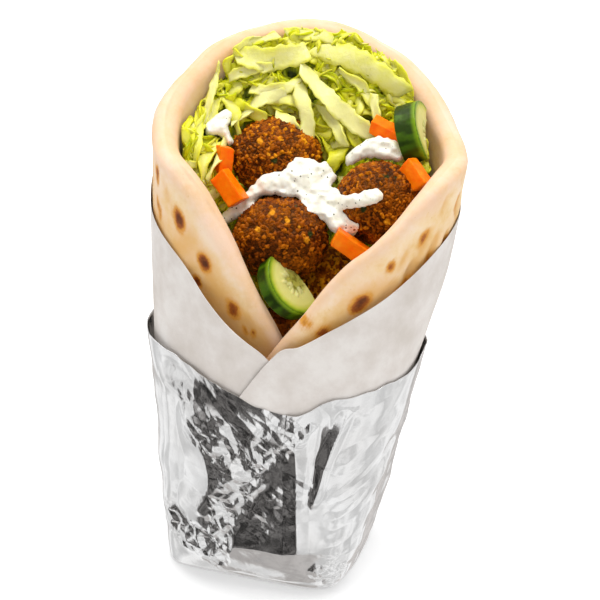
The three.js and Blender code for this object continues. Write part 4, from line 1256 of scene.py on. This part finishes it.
def make_heap_core():
    columns, wall_rows, rings = 250, 8, 64
    angles = np.linspace(0, 360, columns, endpoint=False)
    top = np.full(columns, 150.0)
    for _ in range(12):
        x, y, _ = filling_wall(angles, top).T
        top = 0.5 * (top + heap_height(x, y) - CORE_DEPTH)
    heights = HEAP_BOTTOM + (top[:, None] - HEAP_BOTTOM) * np.linspace(0, 1, wall_rows)
    walls = filling_wall(np.repeat(angles[:, None], wall_rows, axis=1), heights)
    shares = 1 - np.linspace(0, 1, rings + 1)[1:-1]
    flat = FILLING_MIDDLE + (walls[:, -1:, :2] - FILLING_MIDDLE) * shares[:, None]
    level = heap_height(flat[..., 0], flat[..., 1]) - CORE_DEPTH
    cover = np.concatenate([flat, level[..., None]], -1)
    warped = cover + 1.2 * noise_vectors(cover, 4, 20)
    _, bump, label = grains(warped.reshape(-1, 3), CORE_GRAIN, 7)
    bump = (bump**0.7 * (0.4 + 0.9 * label)).reshape(level.shape) + 0.35 * noise(cover, 1.7, 9)
    cover[..., 2] += CORE_BUMP * (bump - 0.6) * smooth_step(1, 0.95, shares)
    gap = openness(cover)
    cover[..., 2] -= GAP_DEPTH * gap
    foot = (*BASE_MIDDLE, HEAP_BOTTOM)
    peak = (*FILLING_MIDDLE, heap_height(*FILLING_MIDDLE) - CORE_DEPTH)
    grid = np.concatenate([walls, cover], axis=1)
    piece = revolved_piece("lettuce_core", grid, foot, peak, leaf_material("lettuce_under"), True)
    tone = np.zeros(grid.shape[:2])
    # Painted shade: the core's tone is darker in the hollows between its lumps and darkest in the gaps.
    tone[:, wall_rows:] = (0.04 + 0.36 * bump) * (1 - gap) - 0.04 * gap
    store(piece, tone=np.append(tone.ravel(), (0, 0.3)))
    stands_for(piece, "lettuce")
    return piece


# Shreds that show clearly: both ends in the mouth (right, rise), how far each end stands out of the
# heap, width, sideways bow, twist in degrees and tone from green 0 to pale 1.
SHREDS = (
    ((-31, 87), (-35, 65), (2.5, 2), 4.4, 1.5, 30, 0.95),
    ((-30, 57), (-36, 40), (2, 2), 5.2, -2, -25, 0.8),
    ((-37, 68), (-38, 48), (1.5, 2), 4.2, 1, 20, 0.7),
    ((-36, 46), (-32, 26), (2, 1), 4.6, 1.5, -35, 0.6),
    ((0, 85), (27, 59), (5, 4.5), 6.8, -1.5, 20, 1.0),
    ((-1, 79), (3.5, 56), (4.5, 8), 6.2, 1, -15, 1.0),
    ((7, 71), (16, 56), (3, 4), 5, 1, 25, 0.95),
    ((27, 75), (29.5, 60), (4, 5), 4.2, -0.8, -20, 1.0),
    ((5, 92), (38, 75), (2.5, 3.5), 9.5, 3, 10, 0.85),
    ((-24, 89), (3, 91), (3, 3.5), 9, -2.5, -10, 0.9),
    ((-17, 98), (-12, 87), (0.5, 1.5), 8, 0.5, 15, 0.85),
    ((-25, 64), (-5, 75), (4, 4), 5.4, 3, -20, 1.0),
    ((-26, 81), (-10, 85), (2.5, 3), 5, 1, 25, 0.95),
    ((-18, 77), (1, 80), (3.5, 3), 4.8, -2, -15, 0.9),
    ((-9, 67), (0, 61.5), (5, 7), 4.6, 0.8, 10, 0.95),
    ((10, 45), (16, 55), (3, 3), 5.8, 1, -10, 0.55),
    ((14, 84), (27, 70), (2, 2.5), 4.6, 2, 20, 0.9),
    ((18, 67), (22, 55), (1.5, 2), 4.8, -1, 0, 0.6),
    ((-28, 75), (-22, 60), (1.5, 2.5), 4.8, 1.5, 15, 0.75),
    ((36, 88), (43, 74), (0, 1), 5, -1, 20, 0.7),
    ((-26, 35), (-29, 25), (1, 1), 5, 1, 0, 0.35),
    ((-24, 91), (-8, 97), (1.5, 2), 6, 1, 10, 0.9),
    ((-5, 97), (13, 95), (1.5, 1.5), 6, 1.5, 15, 0.85),
    ((20, 92), (33, 84), (1, 0.5), 5.5, 1, -10, 0.8),
    ((-38, 60), (-30, 74), (1.5, 2), 5, -1, 10, 0.85),
    ((-34, 34), (-28, 47), (1.5, 1.5), 4.5, -1, 20, 0.9),
    ((-27, 59), (-33.5, 43), (3.5, 4), 4.0, 1.2, 15, 0.95),
    ((-20, 70), (-12, 63), (2, 4), 5.0, 1, 10, 0.7),
    ((38, 62), (35, 76), (1.5, 1.5), 4.6, 1, -15, 0.75),
    ((-10, 73), (4, 70), (2.5, 3), 4.4, 1.2, 20, 0.8),
    ((24, 88), (40, 70), (1.5, 2), 4.4, -2, 15, 0.7),
)
LOOSE_SHREDS = 520
LOOSE_TRIES = 4000
# Points along and across a shred that shows clearly and a loose one.
HERO_GRID = (26, 7)
LOOSE_GRID = (12, 5)
LEAF_THICKNESS = 0.55
# Shreds keep out of a ball this far up a slice of cucumber, and of balls round it and every carrot.
SLICE_MIDDLE = 5
SLICE_ROOM = 8
CARROT_ROOM = 4.5
LEAF_SEED = 5


def leaf_strip(start, end, lift, width, bow, twist, rng, grid):
    """Places along and across the middle face of one wavy strip on the heap."""
    t, s = np.linspace(0, 1, grid[0])[:, None], np.linspace(-1, 1, grid[1])[None, :]
    delta = np.subtract(end, start)
    length = np.hypot(*delta)
    along = delta / length
    arch = np.sin(np.pi * t)

    def wave(low, high, lean=0.0):
        return np.sin(t * length * rng.uniform(low, high) + rng.uniform(0, 6) + lean * s)

    ragged = rng.uniform(0.75, 1.1)
    taper = 0.62 + 0.38 * np.sin(np.pi * np.clip(0.1 + 0.84 * t, 0, 1)) ** 0.6
    jagged = 0.10 * wave(0.5, 0.9, 2) + 0.08 * wave(1.3, 2.2, -3)
    offset = s * 0.5 * width * ragged * (taper + jagged) + bow * arch
    skew = rng.uniform(-1, 1) * 0.3 * width * s * (1 - 2 * t) ** 2
    turn = np.radians(twist + rng.uniform(20, 60) * np.sin(t * rng.uniform(2, 5) + rng.uniform(0, 6)))

    def on_line(aside, ahead=0.0):
        right = start[0] + delta[0] * t - along[1] * aside + along[0] * ahead
        return right, start[1] + delta[1] * t + along[0] * aside + along[1] * ahead

    curl = rng.uniform(-0.9, 0.9)
    ruffle = 0.45 * wave(0.5, 0.9) * s**2
    lifted = lift[0] + (lift[1] - lift[0]) * t + 1.2 * arch + curl * (s**2 - 0.5)
    lifted = lifted + 0.5 * np.sin(t * length * 0.33 + rng.uniform(0, 6)) + ruffle
    out = heap_out(*on_line(bow * arch)) + lifted + offset * np.sin(turn) * 0.8
    return mouth_point(*on_line(offset * np.cos(turn), skew), out)


def thin_solid(grid, thickness):
    """Points and faces of a sheet of grid points given a thickness."""
    normal = np.cross(np.gradient(grid, axis=0), np.gradient(grid, axis=1))
    normal /= np.linalg.norm(normal, axis=-1, keepdims=True) + 1e-9
    half = normal * thickness / 2
    points = np.concatenate([(grid + half).reshape(-1, 3), (grid - half).reshape(-1, 3)])
    return points, sheet_faces(*grid.shape[:2])


def clear_of_toppings(points):
    """Whether a strip keeps off the falafels, the cucumber and the carrot, and out of the sauce."""
    balls = [(centre, radii) for _, centre, radii, *_ in FALAFELS]
    for _, at, _, bulge, *_ in CUCUMBERS:
        balls.append((np.array(at) + SLICE_MIDDLE * unit_vector(bulge), SLICE_ROOM))
    balls += [(mouth_point(*at), CARROT_ROOM) for _, at, *_ in CARROTS]
    for centre, radii in balls:
        inside = np.linalg.norm((points - centre) / np.array(radii), axis=-1) < 1
        if inside.mean() > 0.1:
            return False
    right, rise, _ = in_mouth(points)
    return all(pool_field(discs, right, rise)[0].min() > 0 for discs in POOLS.values())


def loose_strip(rng):
    """A strip at random. Its place and length, its lift, width and bow are drawn in this order."""
    right, rise = rng.uniform(-42, 48), rng.uniform(24, 99)
    turn = rng.uniform(0, math.pi)
    length = rng.uniform(4.0, 11.5)
    width = rng.uniform(2.4, 5.2)
    reach = (0.5 * length * math.cos(turn), 0.5 * length * math.sin(turn))
    start = (right - reach[0], rise - reach[1])
    end = (right + reach[0], rise + reach[1])
    lift = (rng.uniform(-1.0, 1.2), rng.uniform(-1.0, 1.2))
    return leaf_strip(start, end, lift, width, rng.uniform(-2.5, 2.5), rng.uniform(-60, 60), rng, LOOSE_GRID)


def make_lettuce():
    rng = random.Random(LEAF_SEED)
    strips = [(leaf_strip(*shred[:6], rng, HERO_GRID), shred[6]) for shred in SHREDS]
    for _ in range(LOOSE_TRIES):
        strip = loose_strip(rng)
        room = room_left(strip)
        lies_free = room.min() >= -3 and room.mean() >= 0.5 and clear_of_toppings(strip)
        if lies_free and openness(strip).max() <= 0:
            strips.append((strip, rng.uniform(0.32, 0.86)))
        if len(strips) == len(SHREDS) + LOOSE_SHREDS:
            break
    points, faces, tones = [], [], []
    for strip, tone in strips:
        outside = -np.minimum(room_left(strip) - 0.3, 0)
        towards = FILLING_MIDDLE - strip[..., :2]
        towards /= np.linalg.norm(towards, axis=-1, keepdims=True)
        strip[..., :2] += towards * outside[..., None]
        strip_points, strip_faces = thin_solid(strip, LEAF_THICKNESS)
        start = sum(map(len, points))
        faces += [tuple(start + v for v in face) for face in strip_faces]
        points.append(strip_points)
        rib = tone + 0.06 - 0.22 * np.abs(np.linspace(-1, 1, strip.shape[1])) ** 3
        tones.append(np.tile(rib, 2 * strip.shape[0]))
    piece = new_piece("lettuce_shreds", np.concatenate(points), faces, leaf_material("lettuce"))
    store(piece, tone=np.concatenate(tones))
    stands_for(piece, "lettuce")


# ---------------- sauce


def blurred(values, weight):
    """One pass of averaging a grid over its weighted neighbours."""

    def neighbours(grid):
        rows, columns = grid.shape
        padded = np.pad(grid, 1)
        return sum(padded[i : i + rows, j : j + columns] for i in range(3) for j in range(3))

    return neighbours(values * weight) / np.maximum(neighbours(weight), 1e-6)


def carrier_tree(carriers):
    points, faces = [], []
    for piece in carriers:
        start = len(points)
        points += [vertex.co / MM for vertex in piece.data.vertices]
        faces += [[start + v for v in polygon.vertices] for polygon in piece.data.polygons]
    return BVHTree.FromPolygons(points, faces)


def carrier_depth(tree, right, rise, near):
    """How far out of the mouth the carriers reach at places near a pool."""
    depth = np.zeros_like(right)
    origins = mouth_point(right, rise, RAY_START)
    for i, j in zip(*np.nonzero(near)):
        hit = tree.ray_cast(Vector(origins[i, j]), Vector(-OUT))[0]
        depth[i, j] = in_mouth(np.array(hit))[2] if hit else 0
    return depth


def pool_skin(tree, discs, right, rise, distance, level, seed):
    """The top and underside of a pool: it follows what lies under it and bridges the gaps."""
    weight = (distance < POOL_MARGIN).astype(float)
    base = carrier_depth(tree, right, rise, distance < POOL_MARGIN)
    for _ in range(3):
        base = blurred(base, weight) * weight
    inward = np.clip(-distance / POOL_EDGE, 0, 1)
    dome = np.sqrt(np.clip(1 - (1 - inward) ** 2, 0, 1))
    film = base + POOL_FILM * dome
    bead = level - POOL_DEPTH * (1 - dome)
    top = 0.5 * (film + bead + np.hypot(film - bead, 1.5))
    for _ in range(4):
        top = blurred(top, weight) * weight
    plane = np.stack([right, rise], -1)
    top += inward * noises(plane, (0.8, 4.2, seed + 20), (0.6, 2.1, seed + 30), (0.22, 1.1, seed + 36))
    return top, np.minimum(np.maximum(base - 1.0, top - 5.0), top - 0.9)


def pool_faces(inside):
    """The faces of a slab over the inner places of a grid: its top, its underside and its edge."""
    count = int(inside.sum())
    numbers = np.zeros(inside.shape, int)
    numbers[inside] = np.arange(count)
    faces, edges = [], {}
    for i, j in zip(*np.nonzero(inside[:-1, :-1] & inside[1:, :-1] & inside[:-1, 1:] & inside[1:, 1:])):
        ring = tuple(int(numbers[i + a, j + b]) for a, b in ((0, 0), (1, 0), (1, 1), (0, 1)))
        faces += [ring, tuple(v + count for v in ring[::-1])]
        for a, b in zip(ring, ring[1:] + ring[:1]):
            edges[a, b] = True
    return faces + [(b, a, a + count, b + count) for a, b in edges if (b, a) not in edges]


def make_sauces(carriers):
    material = sauce_material()
    tree = carrier_tree(carriers)
    for index, (node, discs) in enumerate(POOLS.items()):
        low, high = discs.min(0)[:2] - POOL_REACH, discs.max(0)[:2] + POOL_REACH
        right, rise = np.meshgrid(*(np.arange(a, b, POOL_STEP) for a, b in zip(low, high)), indexing="ij")
        distance, level = pool_field(discs, right, rise)
        ragged = noises(np.stack([right, rise], -1), (0.7, 3.4, 200 + index), (0.5, 1.5, 210 + index))
        distance = distance - POOL_SPREAD + ragged
        top, under = pool_skin(tree, discs, right, rise, distance, level, 200 + index)
        inside = distance < 0
        faces_of_pool = [mouth_point(right[inside], rise[inside], side[inside]) for side in (top, under)]
        piece = new_piece(node + "_pool", np.concatenate(faces_of_pool), pool_faces(inside), material)
        remesh(piece, POOL_GRAIN, 3)
        displace(piece, lambda points: 0.14 * noise(points, 1.6, 240 + index))
        stands_for(piece, node)


# ---------------- the studio

TARGET = Vector((0.0125, 0.013, 0.100))
CAMERA_DISTANCE = 0.900
CAMERA_ELEVATION = 30.0
LENS = 145.8
# Lights in metres: name, place, size and watts.
LIGHTS = (("key", (0.14, 0.02, 0.98), 0.55, 5.2), ("top", (-0.2, 0.3, 0.9), 0.6, 2.8))
# Half the floor's side and how far it lies below the base, in mm.
FLOOR_REACH = 4000
FLOOR_GAP = 0.2


def aim(thing, place):
    thing.location = place
    thing.rotation_euler = (TARGET - thing.location).to_track_quat("-Z", "Y").to_euler()


def make_camera():
    data = bpy.data.cameras.new("camera")
    data.sensor_width = 36
    data.lens = LENS
    camera = add_object("camera", data)
    tilt = math.radians(CAMERA_ELEVATION)
    aim(camera, TARGET + CAMERA_DISTANCE * Vector((0, -math.cos(tilt), math.sin(tilt))))
    bpy.context.scene.camera = camera


def make_lights():
    for name, place, size, watts in LIGHTS:
        data = bpy.data.lights.new(name, "AREA")
        data.shape = "DISK"
        data.size = size
        data.energy = watts
        aim(add_object(name, data), place)


def make_floor():
    look = Surface("floor", Roughness=0.9, Specular_IOR_Level=0.0, Emission_Strength=0.25,
                   Emission_Color=(1, 1, 1, 1), Base_Color=(0.97, 0.97, 0.97, 1))
    signs = ((-1, -1), (1, -1), (1, 1), (-1, 1))
    corners = [(x * FLOOR_REACH, y * FLOOR_REACH, -FLOOR_GAP) for x, y in signs]
    floor = new_piece("floor", corners, [(0, 1, 2, 3)], look.material)
    floor.visible_glossy = False


# What the foil mirrors: a white studio with dark parts. Each is a range of bearings (degrees to the
# right of the front) and of heights above level, its brightness where its clouds are darkest and
# lightest, and the width of its soft upper edge.
DARK_PARTS = (
    (-79, -10, -62, 28, 0.006, 0.22, 30),
    (-79, 4, -92, -58, 0.4, 0.58, 5),
    (150, 205, -60, 5, 0.5, 0.75, 5),
)
SOFT_EDGE = 5.0
LIT_PART = (0.62, 1.0)
SEEN_LEVEL = 1.0
LIGHTING_LEVEL = 0.66
DARK_TINT = (1.0, 0.955, 0.93)
# How much the clouds of the lit and the dark parts are stretched each way.
LIT_CLOUDS = (3.2, 3.2, 3.2)
DARK_CLOUDS = (11.0, 11.0, 4.0)


def make_world():
    world = bpy.data.worlds.new("studio")
    bpy.context.scene.world = world
    world.use_nodes = True
    world.node_tree.nodes.clear()
    sky = Nodes(world.node_tree)
    direction = sky.node("TexCoord", output="Generated")

    def between(value, low, high, fade=SOFT_EDGE):
        return sky.remap(value, low, low + SOFT_EDGE) * sky.remap(value, high - fade, high, 1.0, 0.0)

    def clouds(stretch, darkest, lightest):
        place = sky.node("VectorMath", {0: direction, 1: stretch}, operation="MULTIPLY")
        value = sky.node("TexNoise", {"Vector": place, "Scale": 1.0, "Detail": 3.0}, "Fac")
        return sky.remap(value, 0.36, 0.64, darkest, lightest)

    x, y, z = (sky.node("SeparateXYZ", {"Vector": direction}, axis) for axis in "XYZ")
    bearing = sky.maths("ARCTAN2", x, y * -1.0) * (180 / math.pi)
    height = sky.maths("ARCSINE", z) * (180 / math.pi)
    brightness = clouds(LIT_CLOUDS, *LIT_PART)
    shade = 0.0
    for low, high, bottom, top, darkest, lightest, fade in DARK_PARTS:
        turned = bearing
        if high > 180:
            turned = bearing + sky.maths("LESS_THAN", bearing, 0.0) * 360.0
        patch = between(turned, low, high) * between(height, bottom, top, fade)
        brightness = brightness + patch * (clouds(DARK_CLOUDS, darkest, lightest) - brightness)
        shade = sky.maths("MAXIMUM", shade, patch)
    diffuse, glossy = (sky.node("LightPath", output=f"Is {ray} Ray")
                       for ray in ("Diffuse", "Glossy"))
    others = sky.maths("MAXIMUM", (diffuse + glossy) * -1.0 + SEEN_LEVEL, 0.0)
    level = diffuse * LIGHTING_LEVEL + glossy * brightness + others
    tints = {axis: shade * glossy * (part - 1) + 1.0 for axis, part in enumerate(DARK_TINT)}
    tint = sky.node("CombineXYZ", tints)
    background = sky.node("Background", {"Color": tint, "Strength": level})
    output = sky.tree.nodes.new("ShaderNodeOutputWorld")
    sky.connect(background, output.inputs["Surface"])


def make_studio():
    make_camera()
    make_floor()
    make_world()
    make_lights()
    view = bpy.context.scene.view_settings
    view.view_transform = "Standard"
    view.look = "None"


# ---------------- all of it


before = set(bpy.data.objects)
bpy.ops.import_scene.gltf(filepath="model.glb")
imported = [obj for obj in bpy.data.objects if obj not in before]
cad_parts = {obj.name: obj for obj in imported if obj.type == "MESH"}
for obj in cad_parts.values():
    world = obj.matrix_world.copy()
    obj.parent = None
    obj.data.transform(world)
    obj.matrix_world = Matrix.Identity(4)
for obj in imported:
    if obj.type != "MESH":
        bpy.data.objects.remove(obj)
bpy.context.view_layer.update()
make_bread()
make_paper()
make_foil()
falafels = make_falafels()
make_cucumbers()
make_carrots()
core = make_heap_core()
make_lettuce()
make_sauces([*falafels, core])
make_studio()
